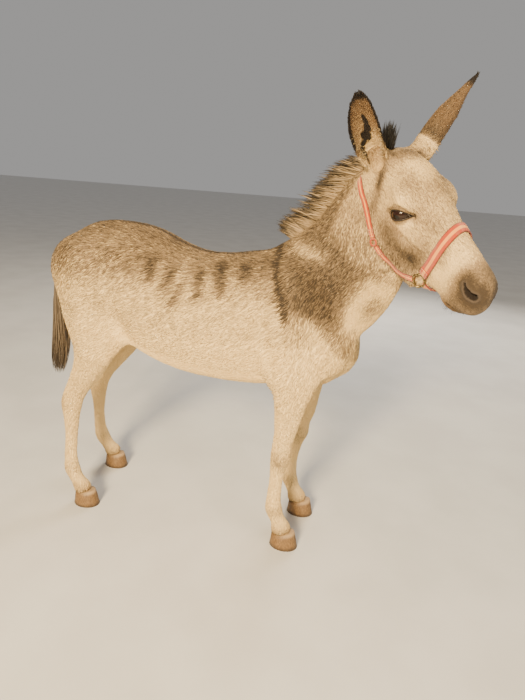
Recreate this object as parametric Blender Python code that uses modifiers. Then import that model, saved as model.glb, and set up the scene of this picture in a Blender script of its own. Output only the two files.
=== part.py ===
"""A standing donkey in a webbing halter, life size: hide, hooves, eyes, mane, tail and halter.

+X is forward, +Y the donkey's left and +Z up, in metres. The body is swept and blown up from named
sections, melted into one hide, then parted with thin cuts into the pieces a person would name.
"""

import math

import bmesh
import bpy
import numpy as np
from mathutils import Matrix, Vector
from mathutils.bvhtree import BVHTree

# ---------------------------------------------------------------- driving sizes
GAP = 0.0004  # air between two pieces that meet
CUT = 0.0008  # thickness of a parting cut
VOXEL = 0.0065  # grain of the melted hide
HIDE_TRIANGLES = 4000  # before it is parted

HOOF_HEIGHT, CORONET_SLOPE = 0.060, 0.25  # height in the middle, and its rise toward the toe
HOOF_SPREAD = 0.006  # how far the sole lies ahead of the coronet
HOOF_LENGTH, HOOF_WIDTH, HOOF_TAPER = 0.057, 0.044, 0.80  # half length, half width, top over sole

POLL = Vector((0.701, -0.066, 1.522))  # top of the head between the ears
HEAD_YAW, HEAD_PITCH, HEAD_ROLL = math.radians(41), math.radians(37), math.radians(10)
HEAD_BACK, EAR_FOOT = -0.02, 0.01  # where smoothing changes, along the head and above its face line
HEAD_SOFTNESS, EAR_SOFTNESS = 0.25, 0.08
LEG_SOFTNESS = ((0.45, 0.70), (0.15, 1.0))  # heights, and softness there
SMOOTH_FACTOR, SMOOTH_TURNS = 0.9, 70
EAR_WALL, EAR_STEPS = 0.012, 17
EYE_RADIUS = 0.0215
MANE_HEIGHT, MANE_HALF_WIDTH = 0.062, 0.013
MANE_LIFT = ((0, 0.3, 0.8, 1), (0.3, 0.75, 1.0, 0.85))  # share of its height, along the crest
MANE_TIP = 0.004  # half width at its top
ABOVE_CREST = 0.40  # well clear of the neck
HAIR_ROOT = 0.022  # how deep hair starts below the hide, before it is trimmed
# The forelock stands between the ears: its middle and the way it points, in the head's frame, its half
# length, half width and half width at the tip, and its heights along it.
FORELOCK_AT, FORELOCK_WAY = Vector((-0.010, -0.034, -0.008)), Vector((-0.30, -0.04, 0.95))
FORELOCK_SIZE = (0.018, 0.018, 0.007)
FORELOCK_HEIGHTS = ((-1, 0.030), (-0.5, 0.060), (0, 0.072), (0.5, 0.060), (1, 0.036))
STRAP_DEPTH = 0.0045  # how far the halter stands off the coat
STRAP_ROOT = 0.008  # how deep a strap starts below the hide, before it is trimmed
RING_WIRE, RING_LIFT = 0.0032, 0.0055  # a ring's wire radius, and how far its middle stands off
RING_STEPS, WIRE_STEPS = 14, 5
TILT_EASE = 6  # how many times a strap's tilt is evened out along it

SIDES = {"right": -1, "left": 1}

# ---------------------------------------------------------------- sections
# Each row: x, y, z of the centre, half width, reach above or ahead, reach below or behind.
TRUNK = (
    (-0.605, 0, 1.040, 0.050, 0.055, 0.060),
    (-0.565, 0, 1.030, 0.110, 0.112, 0.105),
    (-0.480, 0, 1.005, 0.165, 0.185, 0.165),
    (-0.370, 0, 0.985, 0.196, 0.232, 0.210),
    (-0.240, 0, 0.950, 0.205, 0.260, 0.205),
    (-0.120, 0, 0.910, 0.205, 0.254, 0.232),
    (0.000, 0, 0.880, 0.215, 0.254, 0.237),
    (0.120, 0, 0.870, 0.218, 0.260, 0.235),
    (0.240, 0, 0.875, 0.205, 0.272, 0.238),
    (0.350, 0, 0.890, 0.180, 0.275, 0.240),
    (0.450, 0, 0.900, 0.160, 0.245, 0.252),
    (0.540, 0, 0.885, 0.145, 0.190, 0.225),
    (0.600, 0, 0.880, 0.120, 0.140, 0.158),
    (0.640, 0, 0.885, 0.070, 0.080, 0.080),
)
NECK = (
    (0.360, 0.000, 0.960, 0.120, 0.195, 0.200),
    (0.450, 0.000, 1.030, 0.118, 0.200, 0.242),
    (0.530, -0.004, 1.110, 0.099, 0.182, 0.236),
    (0.590, -0.012, 1.200, 0.086, 0.162, 0.208),
    (0.636, -0.020, 1.300, 0.079, 0.146, 0.172),
    (0.670, -0.028, 1.388, 0.074, 0.118, 0.142),
    (0.698, -0.038, 1.445, 0.060, 0.075, 0.085),
)
FORE_LEG = (
    (0.470, 0.095, 0.900, 0.050, 0.095, 0.100),
    (0.455, 0.108, 0.780, 0.062, 0.100, 0.100),
    (0.440, 0.118, 0.690, 0.062, 0.084, 0.078),
    (0.433, 0.122, 0.600, 0.050, 0.062, 0.060),
    (0.425, 0.124, 0.500, 0.039, 0.046, 0.046),
    (0.418, 0.125, 0.440, 0.036, 0.039, 0.043),
    (0.416, 0.126, 0.392, 0.040, 0.043, 0.046),
    (0.409, 0.126, 0.345, 0.032, 0.034, 0.037),
    (0.405, 0.127, 0.270, 0.026, 0.030, 0.034),
    (0.403, 0.128, 0.205, 0.028, 0.031, 0.036),
    (0.404, 0.128, 0.160, 0.034, 0.037, 0.042),
    (0.424, 0.128, 0.112, 0.031, 0.032, 0.034),
    (0.440, 0.128, 0.078, 0.040, 0.041, 0.050),
    (0.448, 0.128, 0.045, 0.036, 0.040, 0.044),
)
HIND_LEG = (
    (-0.430, 0.105, 0.980, 0.070, 0.140, 0.120),
    (-0.398, 0.120, 0.860, 0.078, 0.140, 0.110),
    (-0.368, 0.130, 0.750, 0.066, 0.112, 0.106),
    (-0.385, 0.130, 0.660, 0.054, 0.078, 0.084),
    (-0.428, 0.126, 0.575, 0.042, 0.054, 0.066),
    (-0.470, 0.122, 0.505, 0.034, 0.044, 0.056),
    (-0.496, 0.120, 0.445, 0.037, 0.043, 0.056),
    (-0.500, 0.126, 0.380, 0.032, 0.036, 0.040),
    (-0.500, 0.136, 0.290, 0.025, 0.029, 0.033),
    (-0.501, 0.148, 0.200, 0.028, 0.031, 0.035),
    (-0.494, 0.154, 0.150, 0.033, 0.037, 0.042),
    (-0.468, 0.158, 0.105, 0.030, 0.031, 0.033),
    (-0.445, 0.160, 0.076, 0.039, 0.039, 0.046),
    (-0.434, 0.160, 0.044, 0.036, 0.038, 0.042),
)
# How far each leg stands ahead of its section line, and outward of it, by height.
STANCE = {
    ("fore", "right"): ((0.00, 0.000, -0.022), (0.40, 0.000, -0.012), (0.80, 0.000, 0.000)),
    ("fore", "left"): ((0.00, 0.018, 0.004), (0.10, 0.006, 0.004), (0.25, 0.006, 0.003), (0.50, 0.026, 0.000),
                       (0.80, 0.000, 0.000)),
    ("hind", "right"): ((0.00, 0.004, -0.010), (0.50, 0.000, -0.005), (0.90, 0.000, 0.000)),
    ("hind", "left"): ((0.00, -0.046, 0.010), (0.24, -0.046, 0.008), (0.44, -0.026, 0.004),
                       (0.62, -0.020, 0.000), (0.90, 0.000, 0.000)),
}
# The tail's dock: the fleshy part that the hair hangs from.
DOCK = (
    (-0.540, 0, 1.095, 0.034, 0.028, 0.028),
    (-0.588, 0, 1.070, 0.029, 0.026, 0.026),
    (-0.612, 0, 1.020, 0.024, 0.022, 0.022),
    (-0.618, 0, 0.955, 0.020, 0.018, 0.018),
    (-0.612, 0, 0.880, 0.017, 0.016, 0.016),
    (-0.608, 0, 0.820, 0.013, 0.012, 0.012),
)
TAIL_HAIR = (
    (-0.612, 0, 0.930, 0.022, 0.020, 0.020),
    (-0.612, 0, 0.860, 0.030, 0.028, 0.030),
    (-0.614, 0, 0.760, 0.036, 0.032, 0.038),
    (-0.622, 0, 0.660, 0.038, 0.034, 0.046),
    (-0.634, 0, 0.580, 0.034, 0.030, 0.044),
    (-0.644, 0, 0.520, 0.014, 0.012, 0.016),
)
# Head rows are in the head's own frame: along the face from the poll, to the left, above the face line.
HEAD = (
    (-0.050, 0, -0.090, 0.045, 0.045, 0.055),
    (0.000, 0, -0.090, 0.078, 0.086, 0.100),
    (0.060, 0, -0.095, 0.096, 0.114, 0.140),
    (0.130, 0, -0.105, 0.102, 0.128, 0.160),
    (0.200, 0, -0.110, 0.094, 0.125, 0.163),
    (0.270, 0, -0.112, 0.077, 0.115, 0.154),
    (0.340, 0, -0.110, 0.058, 0.102, 0.140),
    (0.410, 0, -0.110, 0.051, 0.096, 0.110),
    (0.465, 0, -0.110, 0.052, 0.089, 0.091),
    (0.505, 0, -0.113, 0.050, 0.077, 0.080),
    (0.536, 0, -0.117, 0.041, 0.056, 0.060),
    (0.554, 0, -0.120, 0.024, 0.030, 0.034),
)
# Each row: share of the ear's length, half width, half angle that the wall wraps round.
EAR = (
    (0.00, 0.036, 2.40),
    (0.15, 0.040, 2.10),
    (0.35, 0.044, 1.60),
    (0.55, 0.044, 1.30),
    (0.73, 0.037, 1.10),
    (0.88, 0.025, 1.00),
    (1.00, 0.006, 0.90),
)
# Where each ear points, its length that way, where its mouth faces and how far its middle bows toward
# EAR_BOW, all in the head's frame.
EAR_WAYS = {
    "right": (Vector((0.01, -0.60, 0.80)), 0.284, Vector((0.90, -0.35, -0.20)), 0.010),
    "left": (Vector((-0.29, 0.585, 0.757)), 0.300, Vector((0.22, 0.92, -0.32)), 0.013),
}
EAR_BOW = Vector((-0.435, -0.883, -0.171))
EAR_ROOT = Vector((0.006, 0.080, -0.040))
EYE = Vector((0.200, 0.0835, -0.081))
# Rounded masses: centre, half sizes. Those of a side are made for both sides.
BODY_MASSES = {
    "haunch": ((-0.395, 0.105, 1.020), (0.155, 0.092, 0.150)),
    "hip": ((-0.255, 0.110, 1.095), (0.095, 0.080, 0.080)),
    "buttock": ((-0.480, 0.082, 0.975), (0.085, 0.072, 0.130)),
    "stifle": ((-0.300, 0.132, 0.780), (0.075, 0.060, 0.095)),
    "shoulder": ((0.420, 0.100, 0.960), (0.120, 0.070, 0.190)),
    "shoulder_point": ((0.540, 0.088, 0.840), (0.085, 0.070, 0.110)),
    "elbow": ((0.385, 0.118, 0.740), (0.060, 0.055, 0.085)),
}
HEAD_MASSES = {
    "cheek": ((0.150, 0.045, -0.172), (0.125, 0.045, 0.112)),
    "brow": ((0.168, 0.070, -0.044), (0.076, 0.046, 0.036)),
    "face_crest": ((0.275, 0.050, -0.105), (0.090, 0.018, 0.014)),
    "nostril": ((0.495, 0.028, -0.082), (0.044, 0.027, 0.038)),
    "jaw": ((0.255, 0.034, -0.234), (0.125, 0.028, 0.050)),
    "ear_root": ((0.008, 0.068, -0.050), (0.040, 0.036, 0.050)),
}
MIDDLE_MASSES = {
    "upper_lip": ((0.518, 0, -0.126), (0.045, 0.048, 0.056)),
    "chin": ((0.465, 0, -0.188), (0.052, 0.038, 0.032)),
}

# Parting cuts: centre, the way across the cut, half size. The head's and ears' are in the head's frame.
LEG_CUTS = {
    "fore": (Vector((0.435, 0.125, 0.622)), Vector((0.04, 0, 1)), 0.105),
    "hind": (Vector((-0.385, 0.130, 0.700)), Vector((0.25, 0, 1)), 0.125),
}
NECK_CUT = (Vector((0.490, 0, 0.990)), Vector((0.825, 0, 0.567)), 0.30)
# The head's cut runs down behind the cheeks, then forward under the jaw: along and above, in its frame.
HEAD_CUT = ((-0.068, 0.030), (-0.056, -0.030), (0.010, -0.190), (0.060, -0.272), (0.180, -0.302),
            (0.360, -0.290))
HEAD_CUT_WIDTH = 0.190
EAR_CUT_HEIGHT, EAR_CUT_SIZE = 0.050, 0.060

# The halter's straps in the head's frame: half width, and points near the skin of the left side. Those
# that go over or under the head start in the middle and are made for both sides.
LOOP_STRAPS = {
    "noseband": (0.0165, ((0.344, 0.000, -0.010), (0.350, 0.030, -0.028), (0.357, 0.049, -0.066),
                          (0.363, 0.055, -0.119), (0.362, 0.052, -0.165), (0.360, 0.047, -0.194))),
    "chin_strap": (0.0090, ((0.398, 0.000, -0.225), (0.392, 0.026, -0.222), (0.379, 0.043, -0.218))),
    "crown_strap": (0.0085, ((-0.046, 0.000, -0.060), (-0.042, 0.038, -0.088), (-0.018, 0.078, -0.113),
                             (0.026, 0.098, -0.138), (0.070, 0.100, -0.162), (0.115, 0.098, -0.193),
                             (0.156, 0.093, -0.224))),
}
CHEEK_STRAP = (0.0085, ((0.342, 0.050, -0.222), (0.310, 0.052, -0.240), (0.270, 0.054, -0.256),
                        (0.222, 0.066, -0.260), (0.180, 0.087, -0.241)))
RING_AT, RING_SIZE = Vector((0.360, 0.047, -0.211)), (0.017, 0.014)
LOOP_AT, LOOP_SIZE = Vector((0.168, 0.092, -0.232)), (0.011, 0.011)


# ---------------------------------------------------------------- scene and materials
def start():
    for old in list(bpy.data.objects):
        bpy.data.objects.remove(old)
    groups = []
    for name in ("donkey", "cutters"):
        group = bpy.data.collections.new(name)
        bpy.context.scene.collection.children.link(group)
        groups.append(group)
    return groups


DONKEY, CUTTERS = start()


def paint(piece, colour, roughness, metallic=0.0):
    material = bpy.data.materials.new(piece.name)
    material.use_nodes = True
    shader = material.node_tree.nodes["Principled BSDF"]
    shader.inputs["Base Color"].default_value = (*colour, 1)
    shader.inputs["Roughness"].default_value = roughness
    shader.inputs["Metallic"].default_value = metallic
    piece.data.materials.clear()
    piece.data.materials.append(material)
    piece.data.shade_smooth()


ROAN = (0.47, 0.38, 0.28)
MANE_BROWN = (0.30, 0.25, 0.19)
HORN = (0.32, 0.22, 0.13)
DARK_HAIR = (0.10, 0.075, 0.055)
EYE_BROWN = (0.03, 0.018, 0.012)
ORANGE_WEB = (0.70, 0.16, 0.06)
BRASS = (0.55, 0.42, 0.22)


# ---------------------------------------------------------------- making shapes
def finer(rows, steps):
    """Rows of numbers, with steps - 1 more between each two, on a Catmull-Rom curve through them."""
    rows = np.array(rows, float)
    ends = np.vstack([2 * rows[0] - rows[1], rows, 2 * rows[-1] - rows[-2]])
    out = []
    for a, b, c, d in zip(ends, ends[1:], ends[2:], ends[3:]):
        for t in np.arange(steps) / steps:
            bend = (2 * a - 5 * b + 4 * c - d) * t**2 + (3 * b - a - 3 * c + d) * t**3
            out.append(b + ((c - a) * t + bend) / 2)
    return np.array([*out, rows[-1]])


def loft(bm, rings, closed=True):
    """Walls between rings of points, with caps when the rings are closed."""
    rings = [[bm.verts.new(point) for point in ring] for ring in rings]
    for low, high in zip(rings, rings[1:]):
        for k in range(0 if closed else 1, len(low)):
            bm.faces.new((low[k - 1], low[k], high[k], high[k - 1]))
    if closed:
        bm.faces.new(rings[0])
        bm.faces.new(rings[-1][::-1])


def sweep(bm, rows, steps=4, around=20, side=Vector((0, 1, 0)), place=Matrix()):
    """A closed form with rounded sections through the rows, each square to the line of centres."""
    rows = finer(rows, steps)
    ways = np.gradient(rows[:, :3], axis=0)
    rings = []
    for row, way in zip(rows, ways):
        way = Vector(way).normalized()
        left = (side - way * side.dot(way)).normalized()
        ahead = way.cross(left)
        ring = []
        for turn in np.arange(around) * 2 * math.pi / around:
            reach = row[4] if math.sin(turn) > 0 else row[5]
            point = Vector(row[:3]) + left * (row[3] * math.cos(turn)) + ahead * (reach * math.sin(turn))
            ring.append(place @ point)
        rings.append(ring)
    loft(bm, rings)


def mass(bm, centre, half_sizes, place=Matrix()):
    """A rounded mass: a sphere stretched to its half sizes."""
    shape = place @ Matrix.Translation(centre) @ Matrix.Diagonal((*half_sizes, 1))
    bmesh.ops.create_icosphere(bm, subdivisions=3, radius=1, matrix=shape)


def mirrored(point, side):
    return Vector((point[0], point[1] * side, point[2]))


def head_place():
    """The head's frame: origin at the poll, along the face, to the left, above the face line."""
    turn = Matrix.Rotation(-HEAD_YAW, 4, "Z") @ Matrix.Rotation(HEAD_PITCH, 4, "Y")
    turn = turn @ Matrix.Rotation(HEAD_ROLL, 4, "X")
    return Matrix.Translation(POLL) @ turn


HEAD_PLACE = head_place()


def add(name, bm, group=DONKEY):
    """A new object from the mesh in hand, in flat triangles turned outward."""
    bmesh.ops.triangulate(bm, faces=bm.faces)
    bmesh.ops.recalc_face_normals(bm, faces=bm.faces)
    mesh = bpy.data.meshes.new(name)
    bm.to_mesh(mesh)
    bm.free()
    piece = bpy.data.objects.new(name, mesh)
    group.objects.link(piece)
    return piece


def settle(piece):
    """Puts the result of the piece's modifiers into its mesh."""
    bpy.context.view_layer.update()
    result = piece.evaluated_get(bpy.context.evaluated_depsgraph_get())
    mesh = bpy.data.meshes.new_from_object(result)
    piece.modifiers.clear()
    piece.data = mesh


def cut_away(piece, *cutters):
    for cutter in cutters:
        trim = piece.modifiers.new("trim", "BOOLEAN")
        trim.object = cutter
        settle(piece)


def hide_cutter(cutter):
    cutter.hide_render = True
    cutter.display_type = "WIRE"


# ---------------------------------------------------------------- the hide
def set_leg(point, leg, side_name):
    """A point of the left leg's section line, moved to where that leg stands."""
    heights, ahead, outward = np.array(STANCE[leg, side_name]).T
    x, y, z = point
    return (x + np.interp(z, heights, ahead), (y + np.interp(z, heights, outward)) * SIDES[side_name], z)


def leg_rows(rows, leg, side_name):
    return [(*set_leg(row[:3], leg, side_name), *row[3:]) for row in rows]


def ear_wall(bm, side_name):
    """One ear as a curled leaf, thickened to both sides."""
    way, length, mouth, bow = EAR_WAYS[side_name]
    way = way.normalized()
    mouth = (mouth - way * mouth.dot(way)).normalized()
    across = way.cross(mouth)
    root = mirrored(EAR_ROOT, SIDES[side_name])
    leaf = bmesh.new()
    rings = []
    for share, half_width, wrap in finer(EAR, 4):
        radius = half_width / math.sin(min(wrap, math.pi / 2))
        middle = root + way * (share * length) - mouth * (radius * (1 - math.cos(wrap)) / 2)
        middle += EAR_BOW * (bow * math.sin(share * math.pi))
        ring = []
        for turn in np.linspace(-wrap, wrap, EAR_STEPS):
            ring.append(middle + across * (radius * math.sin(turn)) + mouth * (radius * (1 - math.cos(turn))))
        rings.append(ring)
    loft(leaf, rings, closed=False)
    leaf = add("leaf", leaf, CUTTERS)
    wall = leaf.modifiers.new("wall", "SOLIDIFY")
    wall.thickness = EAR_WALL
    wall.offset = 0
    settle(leaf)
    leaf.data.transform(HEAD_PLACE)
    bm.from_mesh(leaf.data)
    bpy.data.objects.remove(leaf)


def softness(point):
    """How much the melted hide is smoothed here: fully on the body, little on legs, head and ears."""
    in_head = HEAD_PLACE.inverted() @ point
    if in_head.x > HEAD_BACK:
        return HEAD_SOFTNESS if in_head.z < EAR_FOOT else EAR_SOFTNESS
    return float(np.interp(point.z, *LEG_SOFTNESS))


def make_hide():
    """The whole hide as one melted form, without hooves, eyes and hair."""
    bm = bmesh.new()
    sweep(bm, TRUNK)
    sweep(bm, NECK)
    for side_name, side in SIDES.items():
        sweep(bm, leg_rows(FORE_LEG, "fore", side_name))
        sweep(bm, leg_rows(HIND_LEG, "hind", side_name))
        for centre, sizes in BODY_MASSES.values():
            mass(bm, mirrored(centre, side), sizes)
        for centre, sizes in HEAD_MASSES.values():
            mass(bm, mirrored(centre, side), sizes, HEAD_PLACE)
        ear_wall(bm, side_name)
    sweep(bm, HEAD, place=HEAD_PLACE)
    for centre, sizes in MIDDLE_MASSES.values():
        mass(bm, centre, sizes, HEAD_PLACE)
    body = add("hide", bm)
    melt = body.modifiers.new("melt", "REMESH")
    melt.mode = "VOXEL"
    melt.voxel_size = VOXEL
    settle(body)
    group = body.vertex_groups.new(name="soft")
    for vertex in body.data.vertices:
        group.add([vertex.index], softness(vertex.co), "REPLACE")
    soften = body.modifiers.new("soften", "SMOOTH")
    soften.vertex_group = group.name
    soften.factor = SMOOTH_FACTOR
    soften.iterations = SMOOTH_TURNS
    settle(body)
    thin = body.modifiers.new("thin", "DECIMATE")
    thin.ratio = HIDE_TRIANGLES / (2 * len(body.data.polygons))
    settle(body)
    return body


def cutters_of(body):
    """The piece as a cutter, and one a hair's breadth larger, so that what they cut keeps a gap."""
    made = []
    for name, extra in (("solid", 0), ("margin", GAP)):
        cutter = body.copy()
        cutter.data = body.data.copy()
        cutter.name = f"{body.name}_{name}"
        CUTTERS.objects.link(cutter)
        swell = cutter.modifiers.new("swell", "DISPLACE")
        swell.strength = extra
        swell.mid_level = 0
        settle(cutter)
        hide_cutter(cutter)
        made.append(cutter)
    return made


def folded_sheet(name, line, half_width):
    """A thin cutter along a line of the head's middle plane, as wide to both sides."""
    rows = np.array(line)
    bm = bmesh.new()
    rings = []
    for (along, above), (run, rise) in zip(rows, np.gradient(rows, axis=0)):
        skew = Vector((-rise, 0, run)).normalized() * (CUT / 2)
        middle = Vector((along, 0, above))
        width = Vector((0, half_width, 0))
        ring = (middle - skew - width, middle + skew - width, middle + skew + width, middle - skew + width)
        rings.append([HEAD_PLACE @ point for point in ring])
    loft(bm, rings)
    cutter = add(name, bm, CUTTERS)
    hide_cutter(cutter)
    return cutter


def slab(name, centre, across, half_size):
    """A thin square cutter."""
    bm = bmesh.new()
    turn = across.to_track_quat("Z", "Y").to_matrix().to_4x4()
    shape = Matrix.Translation(centre) @ turn @ Matrix.Diagonal((half_size, half_size, CUT / 2, 1))
    bmesh.ops.create_cube(bm, size=2, matrix=shape)
    cutter = add(name, bm, CUTTERS)
    hide_cutter(cutter)
    return cutter


def parting_cuts():
    cutters = [slab("neck_cut", *NECK_CUT), folded_sheet("head_cut", HEAD_CUT, HEAD_CUT_WIDTH)]
    for side_name, side in SIDES.items():
        for leg, (centre, across, half_size) in LEG_CUTS.items():
            middle = Vector(set_leg(centre, leg, side_name))
            cutters.append(slab(f"{leg}_leg_{side_name}_cut", middle, across, half_size))
        way = EAR_WAYS[side_name][0].normalized()
        base = HEAD_PLACE @ (mirrored(EAR_ROOT, side) + way * EAR_CUT_HEIGHT)
        cutters.append(slab(f"ear_{side_name}_cut", base, HEAD_PLACE.to_3x3() @ way, EAR_CUT_SIZE))
    return cutters


def islands(bm):
    """The separate closed shells of a mesh, as lists of faces."""
    left = set(bm.faces)
    found = []
    while left:
        shell = {left.pop()}
        edge = list(shell)
        while edge:
            near = {other for side in edge.pop().edges for other in side.link_faces} - shell
            shell |= near
            edge.extend(near)
        left -= shell
        found.append(list(shell))
    return found


def drop_scraps(piece):
    """Keeps only the largest of the piece's shells, where trimming has left a sliver as well."""
    bm = bmesh.new()
    bm.from_mesh(piece.data)
    shells = sorted(islands(bm), key=len)
    scraps = [face for shell in shells[:-1] for face in shell]
    bmesh.ops.delete(bm, geom=scraps, context="FACES")
    bm.to_mesh(piece.data)
    bm.free()


# About where the middle of each piece of hide lies.
MIDDLES = {
    "trunk": Vector((0.00, 0, 0.93)),
    "neck": Vector((0.60, -0.02, 1.20)),
    "head": HEAD_PLACE @ Vector((0.22, 0, -0.10)),
    "ear_right": HEAD_PLACE @ Vector((0.01, -0.17, 0.08)),
    "ear_left": HEAD_PLACE @ Vector((-0.03, 0.17, 0.08)),
    "fore_leg_right": Vector((0.42, -0.125, 0.30)),
    "fore_leg_left": Vector((0.43, 0.125, 0.30)),
    "hind_leg_right": Vector((-0.46, -0.14, 0.35)),
    "hind_leg_left": Vector((-0.50, 0.14, 0.35)),
}


def part_hide(body):
    """The hide's named pieces, each a closed mesh of its own."""
    for cutter in parting_cuts():
        cut_away(body, cutter)
    whole = bmesh.new()
    whole.from_mesh(body.data)
    pieces = {}
    for shell in islands(whole):
        middle = sum((face.calc_center_median() for face in shell), Vector()) / len(shell)
        name = min(MIDDLES, key=lambda key: (MIDDLES[key] - middle).length)
        keep = set(shell)
        bm = whole.copy()
        bm.faces.ensure_lookup_table()
        kept = {face.index for face in keep}
        bmesh.ops.delete(bm, geom=[face for face in bm.faces if face.index not in kept], context="FACES")
        assert name not in pieces, name
        pieces[name] = add(name, bm)
        paint(pieces[name], ROAN, 0.9)
    whole.free()
    bpy.data.objects.remove(body)
    return pieces


# ---------------------------------------------------------------- hooves and eyes
def hoof_top(side_name, leg):
    rows = leg_rows(FORE_LEG if leg == "fore" else HIND_LEG, leg, side_name)
    x, y = rows[-1][:2]
    return Vector((x, y, HOOF_HEIGHT)), Vector((-CORONET_SLOPE, 0, 1)).normalized()


def make_hoof(side_name, leg):
    """A tapered horn box, flat below, its top sloping back along the coronet."""
    top, _ = hoof_top(side_name, leg)
    bm = bmesh.new()
    bmesh.ops.create_cone(bm, segments=24, radius1=1, radius2=HOOF_TAPER, depth=1, cap_ends=True)
    for vertex in bm.verts:
        high = vertex.co.z > 0
        reach = vertex.co.x * HOOF_LENGTH
        vertex.co.x = top.x + reach + (0 if high else HOOF_SPREAD)
        vertex.co.y = top.y + vertex.co.y * HOOF_WIDTH
        vertex.co.z = (HOOF_HEIGHT + CORONET_SLOPE * reach) if high else 0
    hoof = add(f"hoof_{leg}_{side_name}", bm)
    paint(hoof, HORN, 0.55)


def trim_to_coronet(leg_piece, side_name, leg):
    """Ends the leg's hide on the plane just above the hoof."""
    top, across = hoof_top(side_name, leg)
    bm = bmesh.new()
    bm.from_mesh(leg_piece.data)
    geometry = [*bm.verts, *bm.edges, *bm.faces]
    cut = bmesh.ops.bisect_plane(
        bm, geom=geometry, plane_co=top + across * GAP, plane_no=across, clear_inner=True
    )
    rim = [item for item in cut["geom_cut"] if isinstance(item, bmesh.types.BMEdge)]
    bmesh.ops.contextual_create(bm, geom=rim)
    bmesh.ops.recalc_face_normals(bm, faces=bm.faces)
    bm.to_mesh(leg_piece.data)
    bm.free()


def make_eye(side_name, head):
    centre = HEAD_PLACE @ mirrored(EYE, SIDES[side_name])
    for name, radius in ((f"eye_{side_name}", EYE_RADIUS), (f"eye_{side_name}_socket", EYE_RADIUS + GAP)):
        bm = bmesh.new()
        place = Matrix.Translation(centre)
        bmesh.ops.create_uvsphere(bm, u_segments=14, v_segments=9, radius=radius, matrix=place)
        if name.endswith("socket"):
            socket = add(name, bm, CUTTERS)
            hide_cutter(socket)
            cut_away(head, socket)
        else:
            paint(add(name, bm), EYE_BROWN, 0.1)


# ---------------------------------------------------------------- hair
def wedge(name, stations, cutters, colour):
    """Hair as one closed form: each station gives its foot, its tip and its half widths there."""
    bm = bmesh.new()
    rings = []
    for foot, tip, across, foot_half, tip_half in stations:
        rings.append((foot - across * foot_half, foot + across * foot_half,
                      tip + across * tip_half, tip - across * tip_half))
    loft(bm, rings)
    hair = add(name, bm)
    cut_away(hair, *cutters)
    drop_scraps(hair)
    paint(hair, colour, 0.9)
    return hair


def make_mane(surface, cutters):
    """A short upright mane along the crest, from the withers to just behind the poll."""
    rows = finer(NECK, 4)
    centres = [Vector(row[:3]) for row in rows]
    stations = []
    for k in range(1, len(rows) - 2):
        way = (centres[k + 1] - centres[k - 1]).normalized()
        up = way.cross((Vector((0, 1, 0)) - way * way.y).normalized())
        crest, _, _, _ = surface.ray_cast(centres[k] + up * ABOVE_CREST, -up)
        share = k / (len(rows) - 3)
        height = MANE_HEIGHT * float(np.interp(share, *MANE_LIFT))
        across = way.cross(up)
        stations.append((crest - up * HAIR_ROOT, crest + up * height, across, MANE_HALF_WIDTH, MANE_TIP))
    return wedge("mane", stations, cutters, MANE_BROWN)


def make_forelock(cutters):
    """A black tuft that stands up between the ears."""
    turn = HEAD_PLACE.to_3x3()
    up = (turn @ FORELOCK_WAY).normalized()
    across = turn @ Vector((0, 1, 0))
    along = across.cross(up)
    middle = HEAD_PLACE @ FORELOCK_AT
    half_length, half_width, tip = FORELOCK_SIZE
    stations = []
    for share, height in FORELOCK_HEIGHTS:
        foot = middle + along * (share * half_length)
        stations.append((foot - up * HAIR_ROOT, foot + up * height, across, half_width, tip))
    return wedge("forelock", stations, cutters, DARK_HAIR)


def make_tail(cutters):
    """The dock, which grows from the rump, and the hair that hangs round it."""
    bm = bmesh.new()
    sweep(bm, DOCK, steps=2, around=10)
    dock = add("tail_dock", bm)
    cut_away(dock, *cutters)
    drop_scraps(dock)
    paint(dock, ROAN, 0.9)
    bm = bmesh.new()
    sweep(bm, TAIL_HAIR, steps=2, around=10)
    hair = add("tail_hair", bm)
    cut_away(hair, *cutters, *cutters_of(dock))
    drop_scraps(hair)
    paint(hair, DARK_HAIR, 0.9)


# ---------------------------------------------------------------- the halter
def over_the_head(points):
    """A strap's points from its left end, through the middle, to its right end."""
    return [*points[::-1], *(mirrored(point, -1) for point in points[1:])]


def on_skin(surface, point):
    """The place on the hide, and its outward way, nearest to a point of the head's frame."""
    place, out, _, _ = surface.find_nearest(HEAD_PLACE @ Vector(point))
    return place, out


def eased(rows, turns):
    """A run of vectors with each one drawn toward its neighbours, over and over."""
    rows = np.array(rows)
    for turn in range(turns):
        rows[1:-1] = (rows[:-2] + 2 * rows[1:-1] + rows[2:]) / 4
    return rows


def make_strap(name, half_width, points, surface, cutters):
    """A flat strap that lies on the coat along the points, given in the head's frame."""
    found = [on_skin(surface, point) for point in finer(points, 2)]
    places = np.array([place for place, out in found])
    outs = eased([out for place, out in found], TILT_EASE)
    ways = np.gradient(eased(places, TILT_EASE), axis=0)
    bm = bmesh.new()
    rings = []
    for place, way, out in zip(places, ways, outs):
        place, out = Vector(place), Vector(out).normalized()
        across = Vector(way).cross(out).normalized() * half_width
        top, under = out * STRAP_DEPTH, out * -STRAP_ROOT
        rings.append((place - across + under, place + across + under,
                      place + across + top, place - across + top))
    loft(bm, rings)
    strap = add(name, bm)
    cut_away(strap, *cutters)
    drop_scraps(strap)
    paint(strap, ORANGE_WEB, 0.8)
    return strap


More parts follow.
